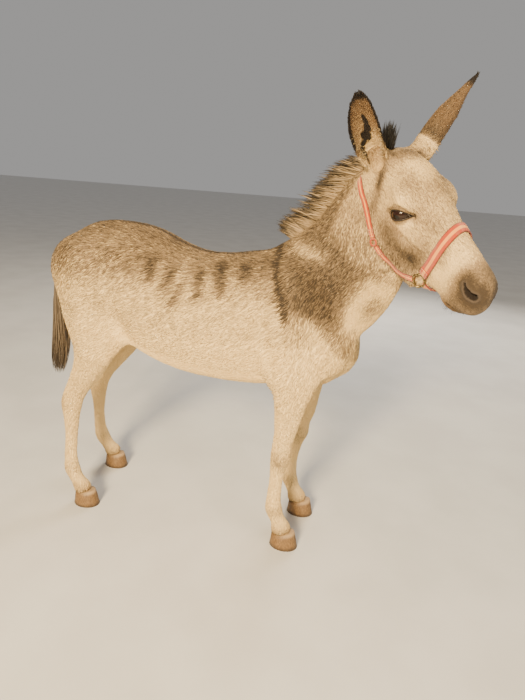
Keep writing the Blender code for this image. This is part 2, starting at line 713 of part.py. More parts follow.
def make_ring(name, at, half_sizes, surface, cutters):
    """An oval brass ring that lies on the coat; gives its own margin for the straps it holds."""
    place, out = on_skin(surface, at)
    turn = out.to_track_quat("Z", "Y").to_matrix().to_4x4()
    made = []
    for extra, group in ((0, DONKEY), (GAP, CUTTERS)):
        bm = bmesh.new()
        rings = []
        for angle in np.arange(RING_STEPS) * 2 * math.pi / RING_STEPS:
            spoke = Vector((math.cos(angle) * half_sizes[0], math.sin(angle) * half_sizes[1], RING_LIFT))
            away = spoke.xy.normalized().to_3d()
            ring = []
            for angle_round in np.arange(WIRE_STEPS) * 2 * math.pi / WIRE_STEPS:
                rim = away * math.cos(angle_round) + Vector((0, 0, math.sin(angle_round)))
                corner = spoke + rim * (RING_WIRE + extra)
                ring.append(bm.verts.new(Matrix.Translation(place) @ turn @ corner))
            rings.append(ring)
        for k, ring in enumerate(rings):
            for m in range(WIRE_STEPS):
                bm.faces.new((rings[k - 1][m - 1], rings[k - 1][m], ring[m], ring[m - 1]))
        made.append(add(name if group is DONKEY else name + "_margin", bm, group))
    cut_away(made[0], *cutters)
    hide_cutter(made[1])
    paint(made[0], BRASS, 0.35, 1.0)
    return made[1]


def make_halter(surface, cutters, mane_cutters):
    rings = []
    for side_name, side in SIDES.items():
        for name, at, size in (("ring", RING_AT, RING_SIZE), ("loop", LOOP_AT, LOOP_SIZE)):
            rings.append(make_ring(f"halter_{name}_{side_name}", mirrored(at, side), size, surface, cutters))
    cutters = [*cutters, *rings, *mane_cutters]
    for side_name, side in SIDES.items():
        half_width, points = CHEEK_STRAP
        points = [mirrored(point, side) for point in points]
        make_strap(f"halter_cheek_strap_{side_name}", half_width, points, surface, cutters)
    for name, (half_width, points) in LOOP_STRAPS.items():
        make_strap("halter_" + name, half_width, over_the_head(points), surface, cutters)


def centre_on_floor():
    """Moves all pieces so that their common box is centred on the origin in x and y."""
    corners = np.array([tuple(v.co) for piece in DONKEY.objects for v in piece.data.vertices])
    low, high = corners.min(axis=0), corners.max(axis=0)
    shift = Matrix.Translation((-(low[0] + high[0]) / 2, -(low[1] + high[1]) / 2, -low[2]))
    for piece in [*DONKEY.objects, *CUTTERS.objects]:
        piece.data.transform(shift)


body = make_hide()
surface = BVHTree.FromObject(body, bpy.context.evaluated_depsgraph_get())
body_cutters = cutters_of(body)
hide_pieces = part_hide(body)
for side_name in SIDES:
    make_eye(side_name, hide_pieces["head"])
    for leg in ("fore", "hind"):
        trim_to_coronet(hide_pieces[f"{leg}_leg_{side_name}"], side_name, leg)
        make_hoof(side_name, leg)
mane = make_mane(surface, body_cutters)
make_forelock(body_cutters)
make_tail(body_cutters)
make_halter(surface, body_cutters, cutters_of(mane))
centre_on_floor()
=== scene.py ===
import math
import bmesh
import bpy
import numpy as np
from mathutils import Matrix, Vector
from mathutils.bvhtree import BVHTree


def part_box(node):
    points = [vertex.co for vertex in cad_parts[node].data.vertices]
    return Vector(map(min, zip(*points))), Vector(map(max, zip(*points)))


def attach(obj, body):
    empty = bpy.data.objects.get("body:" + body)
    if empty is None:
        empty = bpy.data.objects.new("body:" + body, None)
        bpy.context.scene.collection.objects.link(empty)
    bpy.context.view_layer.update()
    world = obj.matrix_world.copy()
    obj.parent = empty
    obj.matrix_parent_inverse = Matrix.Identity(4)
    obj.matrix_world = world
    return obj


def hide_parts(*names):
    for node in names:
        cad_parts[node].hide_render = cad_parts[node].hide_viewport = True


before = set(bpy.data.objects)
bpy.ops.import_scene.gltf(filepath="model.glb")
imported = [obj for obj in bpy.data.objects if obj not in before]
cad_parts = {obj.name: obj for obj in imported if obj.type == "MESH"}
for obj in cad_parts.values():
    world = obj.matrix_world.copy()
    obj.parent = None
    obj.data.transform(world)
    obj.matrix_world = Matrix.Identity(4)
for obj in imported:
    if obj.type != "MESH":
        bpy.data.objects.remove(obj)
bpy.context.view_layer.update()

# ---------------------------------------------------------------- the studio
# A pale matt floor under large soft lights: a warm one from behind the viewer's left shoulder, a weak one on
# the other side and one behind the body.
BODY = Vector((-0.1749, 0.0587, 0.0))  # the floor point under the body's middle, between withers and croup


def new_finish(name, roughness, **sockets):
    """A material with its own shader; gives the material, its tree and its shader."""
    finish = bpy.data.materials.new(name)
    finish.use_nodes = True
    shader = finish.node_tree.nodes["Principled BSDF"]
    shader.inputs["Roughness"].default_value = roughness
    for socket, value in sockets.items():
        shader.inputs[socket.replace("_", " ")].default_value = value
    return finish, finish.node_tree, shader


def node(tree, kind, settings=None, **inputs):
    """One shader node, with its settings and with values or links on its inputs; i0, i1 are inputs by place."""
    made = tree.nodes.new("ShaderNode" + kind)
    for key, value in (settings or {}).items():
        setattr(made, key, value)
    for key, value in inputs.items():
        socket = made.inputs[int(key[1:]) if key[1:].isdigit() else key.replace("_", " ")]
        if isinstance(value, bpy.types.NodeSocket):
            tree.links.new(value, socket)
        else:
            socket.default_value = value
    return made


def noise(place, scale, detail=2.0, roughness=0.5):
    made = node(place.id_data, "TexNoise", Vector=place, Scale=scale, Detail=detail, Roughness=roughness)
    return made.outputs["Fac"]


def band(value, low, high, out_low=0.0, out_high=1.0):
    """A value stretched from one range onto another, and held at its ends."""
    made = node(value.id_data, "MapRange", {"interpolation_type": "SMOOTHSTEP"},
                i0=value, i1=low, i2=high, i3=out_low, i4=out_high)
    return made.outputs[0]


def blend(share, first, second):
    first, second = (value if isinstance(value, bpy.types.NodeSocket) else (*value, 1.0)
                     for value in (first, second))
    return node(share.id_data, "Mix", {"data_type": "RGBA"}, Factor=share, i6=first, i7=second).outputs[2]


def reckon(kind, *values):
    """A sum worked out by one node, in the tree of the sockets that it is given."""
    tree = next(value.id_data for value in values if isinstance(value, bpy.types.NodeSocket))
    inputs = {f"i{k}": value for k, value in enumerate(values)}
    return node(tree, "Math", {"operation": kind}, **inputs).outputs[0]


def plus(first, second):
    return reckon("ADD", first, second)


def less(first, second):
    return reckon("SUBTRACT", first, second)


def times(first, second):
    return reckon("MULTIPLY", first, second)


def object_place(tree):
    return node(tree, "TexCoord").outputs["Object"]


def attribute(tree, name, output="Fac"):
    return node(tree, "Attribute", {"attribute_name": name}).outputs[output]


def feed(shader, **sources):
    """Links each source to the shader's input of that name."""
    for socket, source in sources.items():
        shader.id_data.links.new(source, shader.inputs[socket.replace("_", " ")])


def bump(shader, height, distance, strength):
    made = node(shader.id_data, "Bump", Strength=strength, Distance=distance, Height=height)
    feed(shader, Normal=made.outputs[0])


def into_scene(name, data):
    thing = bpy.data.objects.new(name, data)
    bpy.context.scene.collection.objects.link(thing)
    return thing


def new_piece(name, mesh, finish):
    piece = into_scene(name, mesh)
    mesh.materials.clear()
    mesh.materials.append(finish)
    return piece


def mesh_from(bm, name):
    mesh = bpy.data.meshes.new(name)
    bm.to_mesh(mesh)
    bm.free()
    return mesh


floor_finish, tree, shader = new_finish("pale_floor", 0.9)
speck = noise(object_place(tree), 3.0, 6.0)
feed(shader, Base_Color=blend(band(speck, 0.3, 0.7), (0.6, 0.585, 0.56), (0.66, 0.645, 0.62)))
bm = bmesh.new()
bmesh.ops.create_grid(bm, x_segments=1, y_segments=1, size=30)
floor = new_piece("floor", mesh_from(bm, "floor"), floor_finish)

world = bpy.data.worlds.new("studio")
bpy.context.scene.world = world
world.use_nodes = True
sky = world.node_tree.nodes["Background"]
sky.inputs["Color"].default_value = (0.97, 0.95, 0.93, 1.0)
sky.inputs["Strength"].default_value = 0.36


def softbox(name, place, size, power, colour):
    """A square lamp that faces the body."""
    lamp = bpy.data.lights.new(name, "AREA")
    lamp.size, lamp.energy, lamp.color = size, power, colour
    aim = BODY + Vector((0.1, 0, 0.8)) - Vector(place)
    turn = aim.to_track_quat("-Z", "Y").to_matrix().to_4x4()
    into_scene(name, lamp).matrix_world = Matrix.Translation(place) @ turn


softbox("key", (-0.2, -4.6, 2.9), 1.1, 820, (1.0, 0.78, 0.45))
softbox("fill", (4.2, -2.4, 2.2), 2.5, 95, (1.0, 0.86, 0.66))
softbox("back", (0.6, 4.6, 2.8), 2.5, 210, (1.0, 0.92, 0.8))

VIEWER = (0.796, -1.84, 1.42)  # the viewer's place, seen from BODY
LOOK_DOWN, LEAN, TURN = math.radians(18.8), math.radians(3.8), math.radians(-15.5376)
SENSOR = 36  # mm
FOCUS = 526 / 700  # focal length, as a share of the sensor
along = Vector((math.cos(TURN), -math.sin(TURN), 0))
ahead = Vector((math.sin(TURN), math.cos(TURN), 0)) * math.cos(LOOK_DOWN) - Vector((0, 0, math.sin(LOOK_DOWN)))
down = ahead.cross(along)
right = along * math.cos(LEAN) - down * math.sin(LEAN)
down = along * math.sin(LEAN) + down * math.cos(LEAN)
lens = bpy.data.cameras.new("viewer")
lens.sensor_width, lens.lens, lens.clip_start = SENSOR, SENSOR * FOCUS, 0.01
viewer = into_scene("viewer", lens)
turn = Matrix((right, -down, -ahead)).transposed().to_4x4()
viewer.matrix_world = Matrix.Translation(BODY + Vector(VIEWER)) @ turn
bpy.context.scene.camera = viewer

# ---------------------------------------------------------------- the hide
# One unbroken skin over trunk, neck, head, ears, legs and the tail's dock. It lies under the coat by the depth
# of its hair, and carries the lids, nostrils, lips, skin folds and the markings, with painted shade among them.
FLESH = ("trunk", "neck", "head", "ear_right", "ear_left", "fore_leg_right", "fore_leg_left",
         "hind_leg_right", "hind_leg_left", "tail_dock")
PARTS = np.array([name.split("_")[0] for name in FLESH])
FAR_OFF = 9.0  # stands for any distance too long to matter
BOX_MARGIN = 0.03  # how far out of a node's box its skin is looked for
NODE_REACH = 0.05  # how far from a node's surface its skin may lie
HIDE_GRAIN = 0.009  # spacing of the skin's points on the body, halved on the head
COAT_DEPTH = {"trunk": 0.0048, "neck": 0.0048, "head": 0.0028, "ear": 0.0032, "fore": 0.003, "hind": 0.0032,
              "tail": 0.005}
HEAD_PLACE = Matrix.Translation(BODY + Vector((0.701, -0.066, 1.522)))
for degrees, axis in ((-41, "Z"), (37, "Y"), (10, "X")):
    HEAD_PLACE = HEAD_PLACE @ Matrix.Rotation(math.radians(degrees), 4, axis)
INTO_HEAD = HEAD_PLACE.inverted()
HEAD_TURN = HEAD_PLACE.to_3x3()
EAR_ROOT = Vector((0.006, 0.08, -0.04))
EAR_BOW = Vector((-0.435, -0.883, -0.171))
# In the head's frame: side, way the ear points, its length, where its mouth faces, how far it bows.
EARS = {
    "ear_right": (-1, Vector((0.01, -0.6, 0.8)), 0.2825, Vector((0.9, -0.35, -0.2)), 0.01),
    "ear_left": (1, Vector((-0.29, 0.585, 0.757)), 0.284, Vector((0.22, 0.92, -0.32)), 0.013),
}
# An ear as a curled leaf: share of its length, half width, half angle that it wraps round.
EAR_LEAF = ((0.0, 0.036, 2.15), (0.15, 0.04, 1.85), (0.35, 0.044, 1.55), (0.55, 0.044, 1.3),
            (0.73, 0.038, 1.1), (0.88, 0.027, 1.0), (0.965, 0.0145, 0.95), (1.0, 0.0035, 0.9))
EAR_WALL = (0.0085, 0.0055)  # thickness of an ear at its root and at its tip
SLIT = (Vector((0.169, 0.095, -0.107)), Vector((0.2335, 0.0805, -0.0655)))  # rear and front corners of the lids
EYE_OUT = Vector((0.3, 0.93, -0.05)).normalized()  # the way the left eye looks, in the head's frame
EYE_RADIUS = 0.0315
EYE = (SLIT[0] + SLIT[1]) / 2 - EYE_OUT * 0.0145  # centre of the left eyeball
SLIT_UP, SLIT_DOWN = 0.019, 0.0088  # how far the lids' edges leave the line between the corners
LID = 0.003  # thickness of a lid
LID_REACH = 0.062  # how far from the eyeball's centre the lids are carved
EYE_POCKET = 0.018  # radius of the hide's hollow behind the lids


def read(items, key, width, kind=float):
    """One property of every item of a mesh, as rows of numbers."""
    flat = np.empty(len(items) * width, dtype=kind)
    items.foreach_get(key, flat)
    return flat.reshape(-1, width)


def points_of(mesh):
    return read(mesh.vertices, "co", 3)


def normals_of(mesh):
    return read(mesh.vertex_normals, "vector", 3)


def edges_of(mesh):
    return read(mesh.edges, "vertices", 2, np.int64)


def place_points(mesh, points):
    mesh.vertices.foreach_set("co", np.ascontiguousarray(points, dtype=np.float32).ravel())
    mesh.update()


def unit(rows, least=0.0):
    return rows / (np.linalg.norm(rows, axis=1)[:, None] + least)


def evened(values, edges, turns, weight=0.5):
    """Values on a mesh's points, each drawn toward the mean of its neighbours, over and over."""
    values = np.array(values, dtype=float)
    flat = values.ndim == 1
    values = values.reshape(len(values), -1)
    count = np.bincount(edges.ravel(), minlength=len(values))[:, None]
    weight = np.reshape(weight, (-1, 1)) if np.ndim(weight) else weight
    for turn in range(turns):
        total = np.empty_like(values)
        for k in range(values.shape[1]):
            total[:, k] = np.bincount(edges[:, 0], values[edges[:, 1], k], len(values)) \
                + np.bincount(edges[:, 1], values[edges[:, 0], k], len(values))
        values += (total / count - values) * weight
    return values[:, 0] if flat else values


def smooth_step(value, low, high):
    share = np.clip((value - low) / (high - low), 0, 1)
    return share * share * (3 - 2 * share)


def spot(points, centre, reach):
    """1 at the centre, fading to 0 past the reach, which may differ along each axis."""
    return np.exp(-(((points - np.array(centre)) / np.array(reach)) ** 2).sum(axis=1))


def line_distance(points, line):
    """How far each point lies from a broken line, and how far along the line it is, as a share."""
    line = np.array(line, dtype=float)
    best = np.full(len(points), 1e9)
    share = np.zeros(len(points))
    for k, (start, end) in enumerate(zip(line[:-1], line[1:])):
        way = end - start
        along_it = np.clip(((points - start) @ way) / (way @ way), 0, 1)
        far = np.linalg.norm(points - (start + along_it[:, None] * way), axis=1)
        nearer = far < best
        best[nearer] = far[nearer]
        share[nearer] = ((k + along_it) / (len(line) - 1))[nearer]
    return best, share


def ridge(points, line, width):
    return np.exp(-(line_distance(points, line)[0] / width) ** 2)


def forms(points, rows):
    """A sum of soft shapes: amount, then half width and a line, or reach along each axis and a single place."""
    return sum(amount * (ridge(points, places, reach) if len(places) > 1 else spot(points, places[0], reach))
               for amount, reach, *places in rows)


def moved(points, matrix):
    return points @ np.array(matrix.to_3x3()).T + np.array(matrix.translation)


def on_body(points):
    """Points seen from BODY, with the right half folded onto the left, and the side each was on."""
    rest = points - np.array(BODY)
    side = np.sign(rest[:, 1] + 1e-9)
    rest[:, 1] = np.abs(rest[:, 1])
    return rest, side


def in_head(points):
    """Points in the head's frame, with the right half folded onto the left, and the side each was on."""
    turned = moved(points, INTO_HEAD)
    side = np.where(turned[:, 1] < 0, -1.0, 1.0)
    turned[:, 1] = np.abs(turned[:, 1])
    return turned, side


def out_of_head(points, side):
    points = points.copy()
    points[:, 1] *= side
    return moved(points, HEAD_PLACE)


def solids(*names):
    bm = bmesh.new()
    for name in names:
        bm.from_mesh(bpy.data.objects[name].data)
    return bm


def surface_of(*names):
    """The surface of the named nodes, to look up its nearest points in."""
    bm = solids(*names)
    tree = BVHTree.FromBMesh(bm)
    bm.free()
    return tree


flesh_surface = surface_of(*FLESH)
node_surfaces = [surface_of(name) for name in FLESH]


def nearest_node(points):
    """The flesh node nearest to each point, by its place in FLESH."""
    far = np.full((len(FLESH), len(points)), FAR_OFF)
    for row, name, surface in zip(far, FLESH, node_surfaces):
        low, high = (np.array(corner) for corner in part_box(name))
        near = np.all((points > low - BOX_MARGIN) & (points < high + BOX_MARGIN), axis=1)
        for index in np.nonzero(near)[0]:
            place, _, _, distance = surface.find_nearest(points[index], NODE_REACH)
            row[index] = FAR_OFF if place is None else distance
    return far.argmin(axis=0)


def worked(thing):
    """The mesh that an object's modifiers make of it."""
    return bpy.data.meshes.new_from_object(thing.evaluated_get(bpy.context.evaluated_depsgraph_get()))


def melted(names):
    """One closed mesh round the named nodes, with its points on an even grid."""
    bm = solids(*names)
    bmesh.ops.remove_doubles(bm, verts=bm.verts, dist=1e-5)
    start = into_scene("hide_start", mesh_from(bm, "hide_start"))
    melt = start.modifiers.new("melt", "REMESH")
    melt.mode, melt.voxel_size = "VOXEL", HIDE_GRAIN
    made = worked(start)
    bpy.data.objects.remove(start)
    return made


def offset_from_cad(points, normals):
    """How far out along its normal each point would go to lie on the solids' surface."""
    out = [(np.array(flesh_surface.find_nearest(point)[0]) - point) @ normal
           for point, normal in zip(points, normals)]
    return np.clip(out, -0.012, 0.012)


def closed_mesh(bm, name):
    """A smooth mesh whose faces all look outward."""
    bmesh.ops.recalc_face_normals(bm, faces=bm.faces)
    mesh = mesh_from(bm, name)
    mesh.shade_smooth()
    return mesh


def ear_axis(name, share):
    """The middle of an ear's leaf at a share of its length, in the head's frame, with its mouth's way."""
    side, way, length, mouth, bow = EARS[name]
    way = way.normalized()
    mouth = (mouth - way * mouth.dot(way)).normalized()
    shares, *columns = zip(*EAR_LEAF)
    half_width, wrap = (float(np.interp(share, shares, column)) for column in columns)
    half_width *= 1 if side < 0 else float(np.interp(share, (0.55, 0.8, 0.96), (1, 0.66, 0.6)))
    radius = half_width / math.sin(min(wrap, math.pi / 2))
    root = Vector((EAR_ROOT.x, EAR_ROOT.y * side, EAR_ROOT.z))
    middle = root + way * (share * length) - mouth * (radius * (1 - math.cos(wrap)) / 2)
    return middle + EAR_BOW * (bow * math.sin(share * math.pi)), mouth, way.cross(mouth), radius, wrap


def ear_leaf(name, steps=26, around=15):
    """One ear: a curled leaf with its wall built out to both sides and round its edge."""
    bm = bmesh.new()
    outer, inner = [], []
    for share in np.linspace(0, 1, steps) ** 0.85:
        middle, mouth, across, radius, wrap = ear_axis(name, share)
        wall = float(np.interp(share, (0, 1), EAR_WALL)) / 2
        for rings, reach in ((outer, radius + wall), (inner, max(radius - wall, 0.0005))):
            ring = []
            for turn in np.linspace(-wrap, wrap, around):
                spoke = across * math.sin(turn) - mouth * math.cos(turn)
                ring.append(bm.verts.new(HEAD_PLACE @ (middle + mouth * radius + spoke * reach)))
            rings.append(ring)
    for k in range(steps - 1):
        for m in range(around - 1):
            bm.faces.new((outer[k][m], outer[k][m + 1], outer[k + 1][m + 1], outer[k + 1][m]))
            bm.faces.new((inner[k][m + 1], inner[k][m], inner[k + 1][m], inner[k + 1][m + 1]))
        for m in (0, around - 1):
            corners = (outer[k][m], outer[k + 1][m], inner[k + 1][m], inner[k][m])
            bm.faces.new(corners if m == 0 else corners[::-1])
    for k in (0, steps - 1):
        for m in range(around - 1):
            corners = (outer[k][m + 1], outer[k][m], inner[k][m], inner[k][m + 1])
            bm.faces.new(corners if k == 0 else corners[::-1])
    return closed_mesh(bm, name + "_leaf")


def cup_place(name):
    """Where the hollow lies that runs from an ear's mouth down into its root, as a stretched ball."""
    _, mouth, across = ear_axis(name, 0.0)[:3]
    way = EARS[name][1].normalized()
    middle = Vector((EAR_ROOT.x, EAR_ROOT.y * EARS[name][0], EAR_ROOT.z)) + way * 0.052 + mouth * 0.016
    return HEAD_PLACE @ Matrix.Translation(middle) @ Matrix((across * 0.028, mouth * 0.037, way * 0.08)
                                                            ).transposed().to_4x4()


def ball(across, up):
    """A round ball of one unit, with its faces in the same order on every run."""
    bm = bmesh.new()
    bmesh.ops.create_uvsphere(bm, u_segments=across, v_segments=up, radius=1)
    places = [tuple(vert.co) for vert in bm.verts]
    faces = []
    for face in bm.faces:
        corners = [vert.index for vert in face.verts]
        first = corners.index(min(corners))
        faces.append(corners[first:] + corners[:first])
    bm.clear()
    verts = [bm.verts.new(place) for place in places]
    for corners in sorted(faces):
        bm.faces.new([verts[corner] for corner in corners])
    return bm


def ear_cup(name):
    bm = ball(24, 18)
    bm.transform(cup_place(name))
    return closed_mesh(bm, name + "_cup")


def join_ears(mesh):
    """Grows the ears out of the melted skin, and hollows their roots."""
    for name in EARS:
        base = into_scene("hide_start", mesh)
        tools = [into_scene(made.name, made) for made in (ear_leaf(name), ear_cup(name))]
        for kind, tool in zip(("UNION", "DIFFERENCE"), tools):
            step = base.modifiers.new(kind, "BOOLEAN")
            step.operation, step.solver, step.object = kind, "EXACT", tool
        mesh = worked(base)
        for thing in (base, *tools):
            bpy.data.objects.remove(thing)
    return mesh


def make_hide():
    """The skin, melted from the flesh, freed of its facets, with the ears grown on."""
    mesh = melted([name for name in FLESH if not name.startswith("ear")] + ["eye_right", "eye_left"])
    edges, points = edges_of(mesh), points_of(mesh)
    kinds = nearest_node(points)
    slim = np.isin(PARTS[kinds], ("fore", "hind", "tail")) & (points[:, 2] < 0.5)
    weight = np.where(kinds == FLESH.index("head"), 0.42, np.where(slim, 0.4, 0.6))
    weight = evened(weight, edges, 4)
    for turn in range(2):
        points = evened(points, edges, 22, weight)
        place_points(mesh, points)
        out = evened(offset_from_cad(points, normals_of(mesh)), edges, 8, np.minimum(weight * 1.3, 0.6))
        points += normals_of(mesh) * out[:, None]
        place_points(mesh, points)
    place_points(mesh, evened(points, edges, 3))
    return join_ears(mesh)


def refine(mesh, wanted, smooth=2):
    """Splits the faces whose middles are wanted in four, and rounds what was split."""
    bm = bmesh.new()
    bm.from_mesh(mesh)
    keep = wanted(np.array([face.calc_center_median() for face in bm.faces]))
    edges = dict.fromkeys(edge for face, chosen in zip(bm.faces, keep) if chosen for edge in face.edges)
    bmesh.ops.subdivide_edges(bm, edges=list(edges), cuts=1, use_grid_fill=True)
    bmesh.ops.triangulate(bm, faces=[face for face in bm.faces if len(face.verts) > 4])
    bm.to_mesh(mesh)
    bm.free()
    points = points_of(mesh)
    place_points(mesh, evened(points, edges_of(mesh), smooth, np.where(wanted(points), 0.5, 0.0)))


def head_region(points):
    turned, _ = in_head(points)
    return (turned[:, 0] > -0.07) & (turned[:, 2] > -0.33) & (turned[:, 1] < 0.36) \
        & ((turned[:, 2] > -0.05) | (turned[:, 0] > 0.0))


def face_detail(points):
    """The eye, the nostril and the mouth, where the skin's points are closest."""
    turned, _ = in_head(points)
    eye = np.linalg.norm((turned - np.array(EYE)) / (1, 1.2, 1), axis=1) < 0.043
    nose = (turned[:, 0] > 0.44) & (turned[:, 2] > -0.24)
    return eye | nose


def slit_frame():
    """The middle of the left eye's slit, and the ways along it, out of the face and up."""
    along = (SLIT[1] - SLIT[0]).normalized()
    out = (EYE_OUT - along * EYE_OUT.dot(along)).normalized()
    up = out.cross(along)
    return (SLIT[0] + SLIT[1]) / 2, along, out, up if up.z > 0 else -up


def carve_eyes(points):
    """The lids, laid over the eyeball, and the pocket behind them."""
    turned, side = in_head(points)
    middle, along, out, up = (np.array(way) for way in slit_frame())
    half = (SLIT[1] - SLIT[0]).length / 2
    eye = np.array(EYE)
    near = (np.linalg.norm(turned - eye, axis=1) < LID_REACH) & ((turned - eye) @ out > -0.006)
    x = ((turned - middle) @ along) / half
    y = (turned - middle) @ up
    bow = np.clip(1 - x * x, 0, 1)
    edge = np.where(y > 0, SLIT_UP, SLIT_DOWN) * bow ** 0.95
    gap = np.where(np.abs(x) < 1, np.abs(y) - edge, np.hypot((np.abs(x) - 1) * half, y))
    snap = near & (np.abs(gap) < 0.0012) & (np.abs(x) < 1)
    turned = turned + up * np.where(snap, (edge + 0.0002 - np.abs(y)) * np.sign(y), 0)[:, None]
    gap = np.where(snap, 0.0002, gap)
    raised = (turned - eye) @ out
    level = (turned - eye) - out * raised[:, None]
    off = np.linalg.norm(level, axis=1)
    lid = EYE_RADIUS + LID + 0.0016 * np.exp(-((gap - 0.002) / 0.0022) ** 2) \
        - 0.0026 * np.exp(-((gap - 0.0085) / 0.0028) ** 2) * (y > 0)
    dome = np.where(off < 0.8 * lid, np.sqrt(np.maximum(lid ** 2 - off ** 2, 0)),
                    0.6 * lid - (off - 0.8 * lid) * 1.33)
    lower = smooth_step(gap, 0.018, 0.003)
    over = np.where(raised > dome, raised + (dome - raised) * lower, dome)
    over = np.where(gap < 0, np.sqrt(np.maximum(EYE_POCKET ** 2 - off ** 2, 0)), over)
    raised = np.where(near, over, raised)
    return out_of_head(eye + level + out * raised[:, None], side), np.where(near, gap, FAR_OFF)


NOSTRIL = (Vector((0.486, 0.052, -0.078)), Vector((0.5, 0.0515, -0.086)), Vector((0.516, 0.0475, -0.0915)),
           Vector((0.53, 0.0405, -0.088)))  # along the slit of the left nostril
MOUTH = (Vector((0.446, 0.036, -0.2)), Vector((0.47, 0.035, -0.19)), Vector((0.492, 0.031, -0.1795)),
         Vector((0.512, 0.018, -0.181)), Vector((0.52, 0.0, -0.184)))


# Forms of the muzzle, the face and the body, right half folded onto the left. Each row gives the height over
# the skin, the half width and a line, or the height, the reach along each axis and a middle.
MUZZLE_FORMS = (
    (0.0015, 0.006, (0.478, 0.052, -0.06), (0.502, 0.047, -0.048), (0.526, 0.036, -0.056)),
    (-0.0022, 0.006, (0.47, 0.052, -0.1), (0.5, 0.05, -0.108), (0.528, 0.038, -0.112)),
)
FACE_FORMS = (
    (0.004, 0.0085, (0.226, 0.083, -0.122), (0.27, 0.074, -0.122), (0.335, 0.06, -0.116)),
    (-0.0028, 0.012, (0.245, 0.08, -0.142), (0.3, 0.068, -0.14), (0.345, 0.058, -0.132)),
    (0.003, 0.009, (0.16, 0.082, -0.045), (0.195, 0.084, -0.045), (0.226, 0.072, -0.052)),
    (-0.005, (0.02, 0.018, 0.014), (0.142, 0.07, -0.03)),
    (-0.003, 0.008, (0.23, 0.073, -0.052), (0.262, 0.064, -0.066), (0.3, 0.056, -0.072)),
    (-0.0034, 0.011, (0.185, 0.079, -0.208), (0.24, 0.066, -0.2), (0.295, 0.047, -0.198),
     (0.328, 0.058, -0.15)),
    (0.0022, 0.012, (0.12, 0.07, -0.26), (0.19, 0.06, -0.268), (0.26, 0.045, -0.258)),
    (0.0012, 0.0035, (0.225, 0.085, -0.15), (0.27, 0.072, -0.178), (0.31, 0.058, -0.18)),
    (0.0012, 0.0035, (0.33, 0.06, -0.125), (0.37, 0.055, -0.105), (0.4, 0.05, -0.085)),
    (-0.0012, 0.01, (0.3, 0.0, 0.0), (0.48, 0.0, -0.02)),
    (-0.0016, 0.006, (0.468, 0.036, -0.214), (0.5, 0.02, -0.214), (0.505, 0.0, -0.214)),
)
BODY_FORMS = (
    (-0.009, 0.03, (-0.268, 0.165, 1.01), (-0.235, 0.18, 0.9), (-0.225, 0.16, 0.79)),
    (-0.005, 0.014, (-0.5, 0.12, 1.0), (-0.47, 0.16, 0.88), (-0.43, 0.175, 0.78)),
    (-0.003, 0.012, (-0.33, 0.15, 0.72), (-0.35, 0.165, 0.66), (-0.4, 0.16, 0.6)),
    (-0.006, 0.02, (0.345, 0.15, 1.08), (0.33, 0.19, 0.96), (0.34, 0.185, 0.84), (0.375, 0.16, 0.74)),
    (-0.004, 0.018, (0.47, 0.12, 1.06), (0.5, 0.15, 0.96), (0.52, 0.14, 0.88)),
    (-0.004, 0.014, (0.53, 0.06, 0.96), (0.59, 0.07, 1.11), (0.655, 0.06, 1.26)),
    (-0.007, 0.018, (0.6, 0.0, 0.84), (0.58, 0.0, 0.72)),
    (-0.003, 0.009, (-0.5, 0.165, 0.5), (-0.478, 0.16, 0.56), (-0.44, 0.16, 0.62)),
    (0.003, 0.009, (-0.535, 0.12, 0.45), (-0.515, 0.125, 0.52), (-0.48, 0.13, 0.6)),
    (0.0022, 0.006, (-0.525, 0.126, 0.4), (-0.525, 0.138, 0.29), (-0.522, 0.15, 0.215)),
    (0.0022, 0.006, (0.375, 0.127, 0.36), (0.376, 0.128, 0.28), (0.376, 0.128, 0.215)),
    (0.003, 0.02, (0.52, 0.085, 0.96), (0.555, 0.08, 0.87)),
    (0.003, 0.02, (-0.25, 0.13, 1.085), (-0.3, 0.14, 1.075)),
)
RIBS, FIRST_RIB, RIB_STEP = 9, -0.15, 0.046  # how many ribs show, the place of the last, and how far apart


def nostril_gap(turned):
    """How far each point lies from the nostril's edge, and how far along its slit."""
    far, share = line_distance(turned, NOSTRIL)
    return far - (0.0042 + 0.0062 * smooth_step(share, 0.05, 0.6)), share


def carve_face(points, normals):
    """Nostrils, mouth, and the bones, veins and folds of the face, as a push along the normal."""
    turned, _ = in_head(points)
    gap, share = nostril_gap(turned)
    push = -0.02 * smooth_step(gap, 0.001, -0.0035)
    push += 0.003 * np.exp(-((gap - 0.0045) / 0.0042) ** 2) * (1 - 0.4 * share) + forms(turned, MUZZLE_FORMS)
    far, _ = line_distance(turned, MOUTH)
    push += 0.0022 * np.exp(-((far - 0.0085) / 0.0045) ** 2) - 0.0062 * np.exp(-(far / 0.0034) ** 2)
    push = np.where(turned[:, 0] > 0.4, push, 0) + forms(turned, FACE_FORMS)
    wrinkled = spot(turned, (0.492, 0.046, -0.15), (0.03, 0.03, 0.022))
    push += 0.0006 * np.sin(turned[:, 0] * 900 + turned[:, 2] * 250) * wrinkled
    return points + normals * push[:, None]


def carve_body(points, normals):
    """The folds, tendons and bones that show through the hide of the body and the legs."""
    rest, _ = on_body(points)
    push = forms(rest, BODY_FORMS)
    for x in FIRST_RIB + RIB_STEP * np.arange(RIBS):
        rib = ((x, 0.15, 1.075), (x + 0.02, 0.205, 0.96), (x + 0.035, 0.215, 0.86))
        push += 0.0016 * ridge(rest, rib, 0.014)
    return points + normals * push[:, None]


